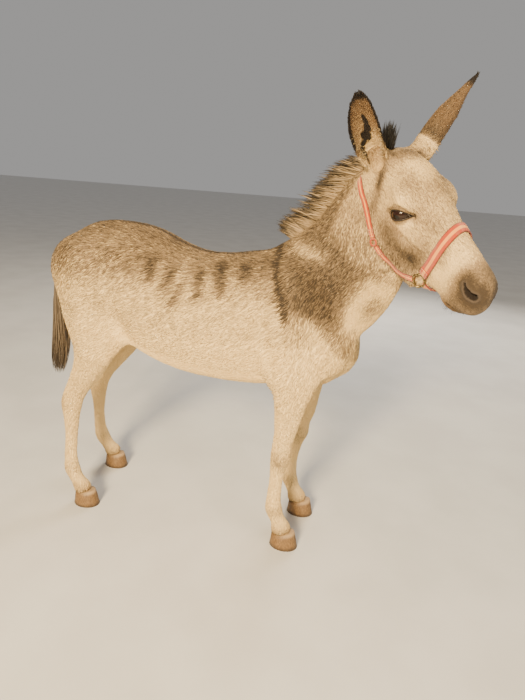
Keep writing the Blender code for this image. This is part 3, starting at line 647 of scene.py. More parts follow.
hide_mesh = make_hide()
refine(hide_mesh, head_region)
refine(hide_mesh, face_detail, 3)
points = points_of(hide_mesh)
whole_face = points.copy()  # before the nostrils and the mouth are carved
kinds = nearest_node(points)
part_of = PARTS[kinds]
points = carve_face(points, normals_of(hide_mesh))
points = carve_body(points, normals_of(hide_mesh))
turned = in_head(points)[0]
depth = evened([COAT_DEPTH[part] for part in part_of], edges_of(hide_mesh), 6)
depth *= 1 - 0.75 * smooth_step(turned[:, 0], 0.44, 0.5) * (turned[:, 1] < 0.1) * (turned[:, 2] < 0.05)
place_points(hide_mesh, points)
down_in = normals_of(hide_mesh) * depth[:, None]
down_in[:, 2] *= smooth_step(points[:, 2], 0.055, 0.1)
points, lid_gap = carve_eyes(points - down_in)
place_points(hide_mesh, points)
hide_normals = normals_of(hide_mesh)

# The markings: a grey-brown saddle and croup, the dark line over the shoulders and down them, the line along
# the spine, broken dark streaks over the ribs, and the face's rings and patches, set out as the forms are.
# Painted
# shade goes in with them: a dark patch over each upper shoulder, a darker ring round each deep-set eye, black
# inside the nostrils, black along the lips' seam (partly dark skin, partly painted shade) and black down the
# hollow of each ear.
SHOULDER_LINE = ((0.335, 0.0, 1.2), (0.343, 0.046, 1.166), (0.347, 0.077, 1.132), (0.353, 0.117, 1.098),
                 (0.372, 0.147, 1.047), (0.393, 0.16, 0.997), (0.405, 0.163, 0.947))
# Lines of painted shade over the upper shoulder, in front of the shoulder line.
SHOULDER_SHADE_PATCHES = (((0.408, 0.15, 1.062), (0.42, 0.16, 1.005)),
                    ((0.47, 0.14, 1.07), (0.482, 0.15, 1.0)),
                    ((0.538, 0.105, 1.082), (0.548, 0.118, 1.005)))
NECK_BAND = ((0.409, 0.061, 1.188), (0.486, 0.088, 1.165), (0.51, 0.09, 1.16))
THROAT = ((0.715, 0.055, 1.07), (0.678, 0.073, 1.084), (0.635, 0.079, 1.028), (0.61, 0.08, 0.955))
RIB_STREAKS = (((-0.116, 0.142, 1.092), (-0.104, 0.173, 1.033)),
               ((-0.032, 0.153, 1.052), (-0.043, 0.183, 0.999)),
               ((0.005, 0.18, 1.004), (-0.008, 0.199, 0.952)), ((0.075, 0.134, 1.065), (0.082, 0.19, 0.98)),
               ((0.142, 0.096, 1.095), (0.16, 0.173, 1.015)), ((0.231, 0.105, 1.099), (0.234, 0.133, 1.069)))
PALE_STREAKS = (((0.011, 0.128, 1.075), (-0.016, 0.185, 0.992)), ((0.104, 0.113, 1.083), (0.115, 0.179, 1.004)),
                ((0.191, 0.116, 1.086), (0.201, 0.165, 1.026)), ((-0.08, 0.14, 1.08), (-0.075, 0.178, 1.01)))
TRUNK_TONES = (
    (-0.12, (0.2, 0.14, 0.1), (-0.3, 0.1, 1.16)),
    (0.18, (0.12, 0.16, 0.13), (-0.61, 0.1, 1.06)),
)
LEG_TONES = (
    (0.3, (0.05, 0.08, 0.05), (0.415, 0.12, 0.395)),
    (0.22, (0.06, 0.09, 0.035), (-0.49, 0.13, 0.16)),
    (0.22, (0.06, 0.09, 0.035), (0.41, 0.13, 0.16)),
)
FACE_TONES = (
    (0.34, 0.042, (0.192, 0.086, -0.16), (0.236, 0.071, -0.193), (0.3, 0.06, -0.177)),
    (0.18, 0.028, (0.296, 0.06, -0.177), (0.322, 0.057, -0.11)),
    (0.4, 0.012, (0.03, 0.052, -0.008), (0.048, 0.078, -0.03), (0.072, 0.092, -0.084)),
    (-0.16, (0.03, 0.03, 0.022), (0.186, 0.104, -0.045)),
    (0.2, (0.04, 0.045, 0.025), (0.195, 0.0, 0.003)),
    (0.3, 0.018, (0.06, 0.085, -0.06), (0.09, 0.095, -0.1), (0.1, 0.09, -0.18)),
    (0.26, (0.04, 0.028, 0.035), (0.14, 0.06, -0.01)),
    (0.34, (0.04, 0.06, 0.05), (0.036, 0.0, 0.0)),
    (0.26, 0.02, (0.37, 0.056, -0.07), (0.385, 0.055, -0.1)),
    (-0.22, 0.016, (0.205, 0.085, -0.118), (0.235, 0.075, -0.085)),
    (-0.16, (0.035, 0.08, 0.09), (0.4, 0.05, -0.11)),
    (-0.16, (0.05, 0.045, 0.05), (0.11, 0.02, 0.0)),
    (0.16, 0.03, (0.25, 0.06, -0.045), (0.29, 0.05, -0.05)),
)
FACE_TAN = (
    (0.55, 0.016, (0.446, 0.03, -0.215), (0.49, 0.02, -0.205), (0.505, 0.0, -0.2)),
    (0.35, (0.035, 0.02, 0.014), (0.215, 0.088, -0.125)),
)
LID_CORNER = (SLIT[1], SLIT[1] + (SLIT[1] - SLIT[0]) * 0.16 + Vector((0.003, 0, -0.004)))
EAR_HOLLOW_SHADE = ((-0.009, 0.196, 0.11), (-0.01, 0.165, 0.08), (-0.014, 0.142, 0.05), (-0.019, 0.142, 0.033),
              (-0.019, 0.122, 0.015), (-0.02, 0.132, -0.003), (-0.018, 0.126, -0.019), (-0.008, 0.114, -0.034),
              (0.0, 0.099, -0.051))  # down the inside of the right ear, folded onto the left: a line of painted shade in its hollow


def ear_places():
    """For points on an ear: share of its length, how far it faces inside, and how near the edge it is."""
    share, facing, edge = np.zeros((3, len(points)))
    for name in EARS:
        steps = np.linspace(0, 1, 41)
        axes = [ear_axis(name, float(step)) for step in steps]
        middles = np.array([HEAD_PLACE @ (axis[0] + axis[1] * axis[3]) for axis in axes])
        spines = np.array([HEAD_PLACE @ axis[0] for axis in axes])
        mouth, across = (np.array(HEAD_TURN @ way) for way in axes[0][1:3])
        for index in np.nonzero(kinds == FLESH.index(name))[0]:
            row = int(((spines - points[index]) ** 2).sum(axis=1).argmin())
            spoke = points[index] - middles[row]
            share[index] = steps[row]
            edge[index] = abs(math.atan2(spoke @ across, -(spoke @ mouth))) / axes[row][4]
            facing[index] = axes[row][3] - math.hypot(spoke @ across, spoke @ mouth)
    return share, facing, edge


def markings():
    """How grey-brown, how black, how tan and how bare each point of the hide is, with painted shade added to
    the grey-brown and the black.
    """
    rest, side = on_body(points)
    turned, face_side = in_head(whole_face)
    trunk, neck, head, leg = (evened(np.isin(part_of, parts), edges_of(hide_mesh), 14)
                              for parts in (("trunk",), ("neck",), ("head",), ("fore", "hind")))
    height, upward = rest[:, 2], hide_normals[:, 2]
    dusk_and_shade = trunk * (0.16 + 0.44 * smooth_step(height, 0.95, 1.13) + 0.1 * smooth_step(height, 1.1, 1.2)
                    - 0.3 * smooth_step(height, 0.9, 0.72) + forms(rest, TRUNK_TONES)
                    - 0.2 * smooth_step(rest[:, 0], 0.42, 0.5) * smooth_step(height, 1.02, 0.92))
    dusk_and_shade += neck * (0.58 + 0.08 * smooth_step(rest[:, 1], 0.02, 0.09) - 0.46 * smooth_step(upward, 0.05, -0.6)
                    - 0.3 * smooth_step(height, 1.02, 0.88))
    dusk_and_shade += leg * 0.02 + 0.42 * (part_of == "tail")
    # Painted shade: a dark patch over each upper shoulder.
    shoulder_shade = np.minimum(1, sum(ridge(rest, line, 0.038) for line in SHOULDER_SHADE_PATCHES)) * (1 - leg) * (1 - head)
    dusk_and_shade += (0.82 - dusk_and_shade) * shoulder_shade * 0.78
    # The dark line over the shoulder is the donkey's own; the spot below the patches carries their painted
    # shade down the shoulder.
    dusk_and_shade += (1 - leg) * (0.75 * ridge(rest, SHOULDER_LINE, 0.01)
                         + 0.2 * spot(rest, (0.48, 0.15, 0.9), (0.075, 0.1, 0.08)))
    dusk_and_shade -= 0.38 * ridge(rest, NECK_BAND, 0.023) + 0.5 * neck * ridge(rest, THROAT, 0.038)
    dusk_and_shade += 0.5 * np.exp(-(rest[:, 1] / 0.011) ** 2) * trunk * smooth_step(upward, 0.3, 0.8)
    wander = np.array((0.012, 0.004, 0.01)) * side[:, None]
    for amount, width, streaks in ((0.4, 0.021, RIB_STREAKS), (-0.2, 0.013, PALE_STREAKS)):
        dusk_and_shade += amount * sum(ridge(rest + wander, streak, width) for streak in streaks)
    dusk_and_shade += leg * forms(rest, LEG_TONES)
    tan = leg * (0.5 * smooth_step(height, 0.13, 0.07)
                 + 0.55 * spot(rest, (-0.545, 0.125, 0.455), (0.03, 0.04, 0.045)))

    ahead, up = turned[:, 0], turned[:, 2]
    ring = nostril_gap(turned)[0]
    # Within about two centimetres of the lids the face is darkened: painted shade round the deep-set eye.
    face = head * (0.27 + forms(turned, FACE_TONES) + 0.3 * smooth_step(lid_gap, 0.022, 0.006)
                   + 0.1 * smooth_step(up, -0.11, -0.18) * smooth_step(ahead, 0.4, 0.3)
                   + 0.3 * smooth_step(ring, 0.05, 0.008) + 0.42 * smooth_step(ahead, 0.43, 0.5)
                   + 0.3 * smooth_step(up, -0.15, -0.2) * smooth_step(ahead, 0.42, 0.47))
    tan += head * forms(turned, FACE_TAN)
    lids = np.maximum(0.95 * smooth_step(lid_gap, 0.005, 0.0018), 0.9 * ridge(turned, LID_CORNER, 0.0032))
    # Black inside each nostril is painted shade in its hollow; the black along the lips' seam is partly dark
    # skin and partly painted shade.
    black_and_shade = head * (smooth_step(ring, 0.0012, -0.0008) + lids + 0.8 * ridge(turned, MOUTH, 0.0028))

    share, facing, edge = ear_places()
    ear = (part_of == "ear").astype(float)
    right_ear = (kinds == FLESH.index("ear_right")).astype(float)
    inside = smooth_step(facing, -0.0005, 0.0015) * ear
    outside = ear - inside
    for name in EARS:
        local = moved(points, cup_place(name).inverted())
        cup = smooth_step(np.linalg.norm(local, axis=1), 1.16, 1.04)
        outside = outside * (1 - cup)
        inside = np.maximum(inside, cup)
        # Painted shade: black down the back wall of the left ear's root hollow.
        ragged = 0.34 + 0.08 * np.sin(local[:, 2] * 23) * np.sin(local[:, 2] * 9 + 2)
        streak = np.exp(-(local[:, 0] / ragged) ** 2) * smooth_step(local[:, 2], -0.85, -0.6)
        black_and_shade += cup * 1.1 * streak * smooth_step(local[:, 1], 0.3, -0.1) * (face_side > 0)
        inside = inside * (1 - cup * 0.85 * smooth_step(local[:, 2], -0.35, -0.8))
    black_and_shade += ear * np.maximum(0.9 * smooth_step(share, 0.78, 0.94), smooth_step(edge, 0.6, 0.84)
                              * smooth_step(share, 0.12, 0.4) * np.where(right_ear, 0.95, 0.45))
    # Painted shade: black down the middle of the left ear's hollow.
    ragged = 0.26 + 0.06 * np.sin(share * 21)
    black_and_shade += inside * 1.1 * np.exp(-(edge / ragged) ** 2) * smooth_step(share, 0.02, 0.08) \
        * smooth_step(share, 0.84, 0.7) * (1 - right_ear)
    # Painted shade: black down the hollow of the right ear.
    far, along_it = line_distance(turned, EAR_HOLLOW_SHADE)
    wide = np.interp(along_it, (0, 0.2, 0.42, 0.55, 0.75, 1), (0.004, 0.01, 0.016, 0.01, 0.009, 0.005))
    black_and_shade += (face_side < 0) * 1.2 * np.exp(-(far / wide) ** 4) * smooth_step(along_it, 0.0, 0.06)
    dusk_and_shade += outside * (0.05 + 0.82 * smooth_step(share, 0.1, 0.28)) + face
    dusk_and_shade += inside * (0.2 + 0.34 * smooth_step(edge, 0.35, 0.75) + 0.25 * smooth_step(share, 0.55, 0.85))
    tan += inside * 0.2 + outside * 0.4 * smooth_step(share, 0.2, 0.5)
    return {key: np.clip(value, 0, 1) for key, value in (
        ("dusk_and_shade", dusk_and_shade), ("black_and_shade", black_and_shade), ("tan", tan), ("bare", head * smooth_step(ring, 0.012, 0.002)))}


def set_values(mesh, name, values):
    """Keeps a value for each point of the mesh: one number, or three."""
    three = np.ndim(values) == 2
    made = mesh.attributes.new(name, "FLOAT_VECTOR" if three else "FLOAT", "POINT")
    flat = np.ascontiguousarray(values, dtype=np.float32).ravel()
    made.data.foreach_set("vector" if three else "value", flat)


def show(name, mesh, finish, slot, *replaced):
    """A visible piece of the body, and the nodes that it replaces."""
    piece = new_piece(name, mesh, finish)
    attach(piece, "root")
    if replaced:
        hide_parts(*replaced)
    return piece


def hide_colour(tree):
    """The colour at a root's place: cream and grey-brown hairs mixed, with the markings and the painted shade
    over them.
    """
    root = attribute(tree, "root", "Vector")
    dusk_and_shade, black_and_shade, tan, hair = (attribute(tree, name) for name in ("dusk_and_shade", "black_and_shade", "tan", "hair"))
    broken = reckon("MULTIPLY_ADD", noise(root, 15.0, 5.0, 0.6), 0.6, -0.3)
    hump = plus(times(dusk_and_shade, less(2.0, times(dusk_and_shade, 1.7))), 0.14)  # most where the two colours of hair are mixed
    calm = less(1.0, times(tan, 1.5))
    calm.node.use_clamp = True
    flecked = times(less(noise(root, 190.0, 3.0, 0.7), 0.5), times(calm, 1.2))
    roan = plus(plus(dusk_and_shade, times(broken, hump)), times(plus(flecked, times(less(hair, 0.5), 0.62)), hump))
    colour = blend(band(roan, 0.02, 0.5), CREAM, ROAN_LIGHT)
    colour = blend(band(roan, 0.4, 0.95), colour, ROAN_DARK_AND_SHADE)
    colour = blend(tan, colour, TAN)
    return blend(band(plus(black_and_shade, times(flecked, black_and_shade)), 0.15, 0.85), colour, BLACK_AND_SHADE)


# The dark grey-brown and the black also colour the painted shade.
CREAM = (0.82, 0.605, 0.285)
ROAN_LIGHT = (0.275, 0.184, 0.098)
ROAN_DARK_AND_SHADE = (0.048, 0.032, 0.019)
TAN = (0.32, 0.18, 0.08)
BLACK_AND_SHADE = (0.014, 0.009, 0.007)

hide_finish, tree, shader = new_finish("hide", 0.85, Sheen_Weight=0.04, Sheen_Roughness=0.5,
                                       Specular_IOR_Level=0.3)
root = attribute(tree, "root", "Vector")
skin = blend(attribute(tree, "bare"), hide_colour(tree), (0.07, 0.05, 0.036))
# Near black for the black hair, and for the painted shade in the nostrils, the lips' seam and the ears'
# hollows.
feed(shader, Base_Color=blend(band(attribute(tree, "black_and_shade"), 0.3, 0.9), skin, BLACK_AND_SHADE))
grain = plus(noise(root, 620.0, 2.0), noise(root, 190.0, 3.0))
bump(shader, grain, 0.0012, 0.8)

hide_marks = markings()
for name, values in (hide_marks | {"root": points, "hair": np.full(len(points), 0.5)}).items():
    set_values(hide_mesh, name, values)
hide_mesh.shade_smooth()
hide = show("hide", hide_mesh, hide_finish, "hide", *FLESH)


# ---------------------------------------------------------------- the coat
# Short summer hair in small flat tufts that overlap and run back and down from the face to the feet, longest on
# the body and finest on the face, the ears and the feet. Each tuft is a closed blade rooted in the skin.
def laid(ways, ups):
    """The ways, turned into the surface whose outward ways are given."""
    return unit(ways - ups * (ways * ups).sum(axis=1)[:, None], 1e-9)


def flow():
    """The lie of the hair at each point of the skin, along the surface."""
    rest, _ = on_body(points)
    turned, _ = in_head(points)
    turn = np.array(HEAD_TURN)
    trunk, head = part_of == "trunk", part_of == "head"
    way = np.tile((0.0, 0.0, -1.0), (len(points), 1))
    for chosen, lie in (
            (trunk, (-0.8, 0, -0.55)),
            (trunk & (hide_normals[:, 2] > 0.6), (-1, 0, -0.2)),
            (trunk & (hide_normals[:, 2] < -0.5), (-1, 0, 0)),
            (trunk & (rest[:, 0] > 0.42), (-0.25, 0, -1)),
            (trunk & (rest[:, 0] < -0.42), (-0.35, 0, -1)),
            (part_of == "neck", (-0.62, 0, -0.78)),
            (head, turn @ (1.0, 0, -0.12)),
            (head & (turned[:, 2] < -0.15) & (turned[:, 0] < 0.38), turn @ (0.45, 0, -1.0)),
            *((kinds == FLESH.index(name), turn @ np.array(EARS[name][1].normalized())) for name in EARS)):
        way[chosen] = lie
    for turns in range(3):
        way = evened(way, edges_of(hide_mesh), 5)
        way = laid(way, hide_normals)
    return way


def unwrap(piece):
    """An unwrap of the skin's own shape, for the colours of the skin and of every tuft on it."""
    bpy.context.view_layer.objects.active = piece
    piece.select_set(True)
    piece.data.uv_layers.new(name="OFBake")
    bpy.ops.object.mode_set(mode="EDIT")
    bpy.ops.mesh.select_all(action="SELECT")
    bpy.ops.uv.smart_project(angle_limit=math.radians(66), island_margin=0.003)
    bpy.ops.object.mode_set(mode="OBJECT")
    piece.select_set(False)


def scatter(chosen, count, seed):
    """Roots spread evenly over the chosen triangles: the triangle of each, and its shares of the corners."""
    rng = np.random.default_rng(seed)
    heap = np.cumsum(tri_area * chosen)
    picks = np.searchsorted(heap, (np.arange(count) + rng.random(count)) / count * heap[-1] * 0.999999)
    u, v = rng.random(count), rng.random(count)
    over = u + v > 1
    u[over], v[over] = 1 - u[over], 1 - v[over]
    return picks, np.stack((1 - u - v, u, v), axis=1)


def at_roots(values, picks, shares):
    corners = np.asarray(values)[tri_corners[picks]]
    return (corners * shares.reshape(len(picks), 3, *[1] * (corners.ndim - 2))).sum(axis=1)


def grow(name, finish, slot, spines, sides, ups, widths, profile, marks, uvs, *replaced):
    """Many closed blades in one mesh, each three-sided and drawn to a point along its own spine."""
    count, rings = spines.shape[0], spines.shape[1] - 1
    verts = np.empty((count, rings * 3 + 1, 3))
    flat = np.empty((count, rings * 3 + 1, 2))
    tips = np.ones((count, rings * 3 + 1))
    for k in range(rings):
        half = (widths * profile[k] / 2)[:, None]
        for m, across in enumerate((sides, ups * 0.42, -sides)):
            verts[:, k * 3 + m] = spines[:, k] + across * half
            flat[:, k * 3 + m] = ((m - 1) * 0.0015 * profile[k], 0.003 * k / rings - 0.0015)
            tips[:, k * 3 + m] = k / rings
    verts[:, -1] = spines[:, -1]
    flat[:, -1] = (0, 0.0015)
    faces = [(0, 1, 2)]
    for k in range(rings - 1):
        for m in range(3):
            low, next_low = k * 3 + m, k * 3 + (m + 1) % 3
            faces += [(low, low + 3, next_low + 3), (low, next_low + 3, next_low)]
    last = (rings - 1) * 3
    faces += [(last + m, rings * 3, last + (m + 1) % 3) for m in range(3)]
    faces = np.array(faces)
    every = (faces[None] + (np.arange(count) * (rings * 3 + 1))[:, None, None]).reshape(-1, 3)
    mesh = bpy.data.meshes.new(name)
    mesh.vertices.add(count * (rings * 3 + 1))
    mesh.vertices.foreach_set("co", verts.astype(np.float32).ravel())
    mesh.loops.add(every.size)
    mesh.loops.foreach_set("vertex_index", every.ravel().astype(np.int32))
    mesh.polygons.add(len(every))
    mesh.polygons.foreach_set("loop_start", np.arange(0, every.size, 3, dtype=np.int32))
    mesh.update(calc_edges=True)
    mesh.shade_smooth()
    layer = mesh.uv_layers.new(name="OFBake")
    spread = (flat + uvs[:, None, :]).reshape(-1, 2)
    layer.data.foreach_set("uv", spread[every.ravel()].astype(np.float32).ravel())
    for key, values in marks.items():
        set_values(mesh, key, np.repeat(values, rings * 3 + 1, axis=0))
    set_values(mesh, "tip", tips.ravel())
    return show(name, mesh, finish, slot, *replaced)


unwrap(hide)
hide_mesh.calc_loop_triangles()
tri_corners = read(hide_mesh.loop_triangles, "vertices", 3, np.int32)
tri_loops = read(hide_mesh.loop_triangles, "loops", 3, np.int32)
loop_uv = np.clip(read(hide_mesh.uv_layers["OFBake"].data, "uv", 2), 0.002, 0.998)
corner_points = points[tri_corners]
tri_area = np.linalg.norm(np.cross(corner_points[:, 1] - corner_points[:, 0],
                                   corner_points[:, 2] - corner_points[:, 0]), axis=1) / 2
tri_middle = corner_points.mean(axis=1)
tri_part = part_of[tri_corners[:, 0]]
hair_way = flow()
lay = evened([COAT_DEPTH[part] for part in part_of], edges_of(hide_mesh), 6)

COAT = {  # piece: part, side of the body or 0 for both, number of tufts, length, width
    "coat_trunk_right": ("trunk", -1, 18500, 0.0245, 0.0034),
    "coat_trunk_left": ("trunk", 1, 18500, 0.0245, 0.0034),
    "coat_neck": ("neck", 0, 17500, 0.022, 0.003),
    "coat_head": ("head", 0, 19500, 0.012, 0.0017),
    "coat_ears": ("ear", 0, 9000, 0.0112, 0.0017),
    "coat_fore_legs": ("fore", 0, 12500, 0.016, 0.0024),
    "coat_hind_legs": ("hind", 0, 15500, 0.0172, 0.0026),
    "coat_dock": ("tail", 0, 1600, 0.022, 0.0044),
}


def lay_coat(name, part, half, count, length, width, seed):
    chosen = (tri_part == part).astype(float)
    if half:
        chosen *= (tri_middle[:, 1] - BODY.y) * half > 0
    turned, _ = in_head(tri_middle)
    if part == "head":
        chosen *= (lid_gap[tri_corners].min(axis=1) > 0.0035) & (nostril_gap(turned)[0] > 0.003)
        chosen *= np.where(turned[:, 0] > 0.43, 1.5, 1.0)
    picks, shares = scatter(chosen, count, seed)
    rng = np.random.default_rng(seed + 100)
    roots = at_roots(points, picks, shares)
    ups = unit(at_roots(hide_normals, picks, shares))
    ways = at_roots(hair_way, picks, shares)
    side = np.cross(ups, ways)
    ways = ways + side * rng.normal(0, 0.16, count)[:, None]
    ways = laid(ways, ups)
    depth = at_roots(lay, picks, shares)
    turned, _ = in_head(roots)
    if part == "head":
        nose = smooth_step(turned[:, 0], 0.36, 0.5)
        depth *= 1 - 0.72 * nose
        size = (1 - 0.45 * nose) * (1 - 0.4 * np.exp(-(at_roots(lid_gap, picks, shares) / 0.012) ** 2)) \
            * (1 + 0.9 * smooth_step(turned[:, 2], -0.2, -0.245) * smooth_step(turned[:, 0], 0.4, 0.3))
    elif part in ("fore", "hind"):
        size = 1 - 0.25 * smooth_step(roots[:, 2], 0.5, 0.25) + 0.45 * smooth_step(roots[:, 2], 0.13, 0.08)
    else:
        size = np.ones(count)
    lengths = length * size * rng.uniform(0.75, 1.2, count)
    widths = width * size * rng.uniform(0.75, 1.25, count)
    lifts = depth * rng.uniform(0.45, 0.95, count)
    marks = {key: at_roots(values, picks, shares) for key, values in hide_marks.items()}
    marks |= {"root": roots, "bare": np.zeros(count), "hair": rng.random(count)}
    uvs = (loop_uv[tri_loops[picks]] * shares[:, :, None]).sum(axis=1)
    spines = np.stack([roots - ups * 0.0006 + ways * (lengths * share)[:, None]
                       + ups * (lifts * (1 - (1 - share) ** 2))[:, None] for share in (0, 0.5, 1)], axis=1)
    grow(name, hide_finish, "hide", spines, np.cross(ups, ways), ups, widths, (0.7, 1.0, 0.0), marks, uvs)


for seed, (name, row) in enumerate(COAT.items()):
    lay_coat(name, *row, seed)


# ---------------------------------------------------------------- mane, forelock and tail
# Coarse hair in pointed locks: a short mane that stands along the crest and leans back a little, a black tuft
# between the ears, and the tail's brown-grey hair, which hangs from the lower half of the dock.
NECK_LINE = ((0.4, 0.0, 1.0, 0.2), (0.45, 0.0, 1.03, 0.2), (0.53, -0.004, 1.11, 0.182),
             (0.59, -0.012, 1.2, 0.162), (0.636, -0.02, 1.3, 0.146), (0.67, -0.028, 1.388, 0.118),
             (0.69, -0.034, 1.432, 0.09))  # middle of the neck, and how far over it the crest lies
MANE_HEIGHT = 0.112
TAIL_LINE = ((-0.612, 0.985, 0.0215, 0.0205), (-0.612, 0.93, 0.0225, 0.0225), (-0.612, 0.86, 0.03, 0.03),
             (-0.614, 0.76, 0.036, 0.036), (-0.622, 0.66, 0.038, 0.041), (-0.634, 0.58, 0.034, 0.038),
             (-0.644, 0.519, 0.026, 0.028))  # along the tail: place forward, height, half width, half depth
LOCK_PROFILE = (0.55, 0.95, 1.0, 0.85, 0.5, 0.0)


def hair_finish(name, root_colour, tip_colour, turn_over):
    """Hair with one colour at its roots and another at its tips, where each lock is a little off the rest."""
    finish, tree, shader = new_finish(name, 0.6, Sheen_Weight=0.02)
    share = plus(attribute(tree, "tip"), times(less(attribute(tree, "hair"), 0.5), 0.7))
    colour = blend(band(share, turn_over - 0.3, turn_over + 0.3), root_colour, tip_colour)
    streak = noise(attribute(tree, "root", "Vector"), 300.0, 2.0)
    dark = [part * 0.45 for part in root_colour]
    feed(shader, Base_Color=blend(band(streak, 0.35, 0.75, 0.0, 0.5), colour, dark))
    bump(shader, noise(object_place(tree), 900.0, 2.0), 0.0006, 0.6)
    return finish


def skin_under(points):
    """The skin nearest to each point: its place, its outward way and its place on the unwrap."""
    places, outs, triangles, _ = zip(*(hide_surface.find_nearest(point) for point in points))
    return np.array(places), np.array(outs), loop_uv[tri_loops[list(triangles)]].mean(axis=1)


def smooth_run(rows, shares):
    """Rows of numbers at shares of the way along them, on one smooth curve."""
    rows = np.array(rows, dtype=float)
    place = np.clip(shares, 0, 1) * (len(rows) - 1)
    k = np.clip(place.astype(int), 0, len(rows) - 2)
    t = (place - k)[:, None]
    before, after = rows[np.maximum(k - 1, 0)], rows[np.minimum(k + 2, len(rows) - 1)]
    start, end = rows[k], rows[k + 1]
    return start + t * ((end - before) / 2 + t * (before - 2.5 * start + 2 * end - after / 2
                                                  + t * (1.5 * (start - end) + (after - before) / 2)))


def locks(name, finish, slot, roots, uvs, reach, bend, widths, profile, seed, *replaced):
    """Locks that leave their roots along reach and bow by bend on the way to their tips."""
    rng = np.random.default_rng(seed)
    steps = np.linspace(0, 1, len(profile))
    spines = np.stack([roots + reach * share + bend * share ** 2 for share in steps], axis=1)
    ways = unit(reach)
    sides = unit(np.cross(ways, rng.normal(0, 1, roots.shape)))
    marks = {"root": roots, "hair": rng.random(len(roots))}
    grow(name, finish, slot, spines, sides, np.cross(ways, sides), widths, profile, marks, uvs, *replaced)


hide_surface = BVHTree.FromPolygons(points.tolist(), tri_corners.tolist())

mane_finish = hair_finish("mane_hair", (0.4, 0.28, 0.15), (0.028, 0.02, 0.014), 0.62)
ear_hair_finish = hair_finish("ear_hair", (0.42, 0.3, 0.16), (0.55, 0.42, 0.25), 0.5)
dark_finish = hair_finish("forelock_hair", (0.017, 0.013, 0.012), (0.008, 0.007, 0.007), 0.5)
tail_finish = hair_finish("tail_hair", (0.125, 0.09, 0.058), (0.06, 0.042, 0.028), 0.6)


def make_mane(count=2300, clumps=230):
    """Locks in small clumps that share a lean, so that the mane stands in ragged points."""
    rng = np.random.default_rng(11)
    clump_share = np.sort(rng.uniform(0.275, 1.0, clumps))
    clump = rng.integers(0, clumps, count)
    shares = np.clip(clump_share[clump] + rng.normal(0, 0.006, count), 0.0, 1.0)
    rows = smooth_run(NECK_LINE, shares)
    ahead = unit(smooth_run(NECK_LINE, shares + 0.01)[:, :3] - smooth_run(NECK_LINE, shares - 0.01)[:, :3])
    across = unit(np.cross((0, 0, 1), ahead))
    ups = np.cross(ahead, across)
    width = rng.normal(0, 0.0058, count)
    starts = rows[:, :3] + np.array(BODY) + ups * (rows[:, 3] + 0.02)[:, None] + across * width[:, None]
    places, _, uvs = skin_under(starts)
    lift = np.interp(shares, (0.26, 0.36, 0.5, 0.85, 1), (0.45, 0.88, 0.98, 1.0, 0.85))
    length = (MANE_HEIGHT + 0.012) * lift * rng.uniform(0.66, 1.05, count)
    length *= rng.uniform(0.72, 1.0, clumps)[clump]
    lean = rng.normal(0, 0.12, (clumps, 2))[clump] + rng.normal(0, 0.05, (count, 2))
    way = unit(ups + across * (lean[:, 0] + width * 9)[:, None] - ahead * (0.16 + lean[:, 1])[:, None])
    locks("mane_locks", mane_finish, "mane", places - ups * 0.006, uvs, way * (length + 0.006)[:, None],
          -ahead * (length * 0.16)[:, None], rng.uniform(0.0036, 0.0072, count), LOCK_PROFILE, 12, "mane")


def make_forelock(count=260):
    """A tuft of near-black locks that spread a little from one spot between the ears."""
    rng = np.random.default_rng(21)
    turn = np.array(HEAD_TURN)
    up = turn @ np.array(Vector((-0.36, -0.14, 0.93)).normalized())
    spread = rng.normal(0, 1, (count, 2)) * (0.007, 0.0055)
    middle = np.array(HEAD_PLACE @ Vector((-0.01, -0.04, -0.008)))
    starts = middle + np.outer(spread[:, 0], turn[:, 0]) + np.outer(spread[:, 1], turn[:, 1]) + up * 0.01
    places, _, uvs = skin_under(starts)
    length = 0.09 * np.exp(-(spread[:, 0] / 0.022) ** 2) * rng.uniform(0.6, 1.0, count)
    way = unit(up + np.outer(spread[:, 1] * 9 + rng.normal(0, 0.07, count), turn[:, 1])
               + np.outer(spread[:, 0] * 9 + rng.normal(0, 0.08, count), turn[:, 0]))
    locks("forelock_locks", dark_finish, "dark_hair", places - up * 0.004, uvs, way * (length + 0.004)[:, None],
          np.outer(length * 0.06, turn[:, 1]), rng.uniform(0.0022, 0.0042, count), LOCK_PROFILE, 22, "forelock")


def make_tail(count=950, steps=10):
    """Hair from all round the lower dock, drawn together as it falls, and ragged at its end."""
    rng = np.random.default_rng(31)
    start = rng.random(count) ** 1.3 * 0.42
    end = np.clip(rng.uniform(0.55, 1.0, count) + (start - 0.2) * 0.1, 0, 1)
    angle = rng.random(count) * 2 * math.pi
    deep = np.sqrt(rng.random(count)) * 0.93
    sway = rng.normal(0, 0.1, count)
    spines = np.empty((count, steps, 3))
    for k, share in enumerate(np.linspace(0, 1, steps)):
        rows = smooth_run(TAIL_LINE, start + (end - start) * share)
        out = 0.62 + (deep - 0.62) * smooth_step(share, 0, 0.35)
        turn = angle + sway * share * 3 + 0.25 * math.sin(share * 7) * share
        spines[:, k, 0] = rows[:, 0] + np.sin(turn) * rows[:, 3] * out
        spines[:, k, 1] = np.cos(turn) * rows[:, 2] * out
        spines[:, k, 2] = rows[:, 1]
    spines += np.array(BODY)
    outward = np.stack((np.sin(angle), np.cos(angle), np.zeros(count)), axis=1)
    sides = unit(np.cross(unit(spines[:, -1] - spines[:, 0]), outward))
    marks = {"root": spines[:, 0], "hair": rng.random(count)}
    profile = (0.4, 0.8, 1.0, 1.0, 1.0, 0.9, 0.8, 0.6, 0.35, 0.0)
    grow("tail_locks", tail_finish, "dark_hair", spines, sides, outward, rng.uniform(0.004, 0.0085, count),
         profile, marks, skin_under(spines[:, 0])[2], "tail_hair")


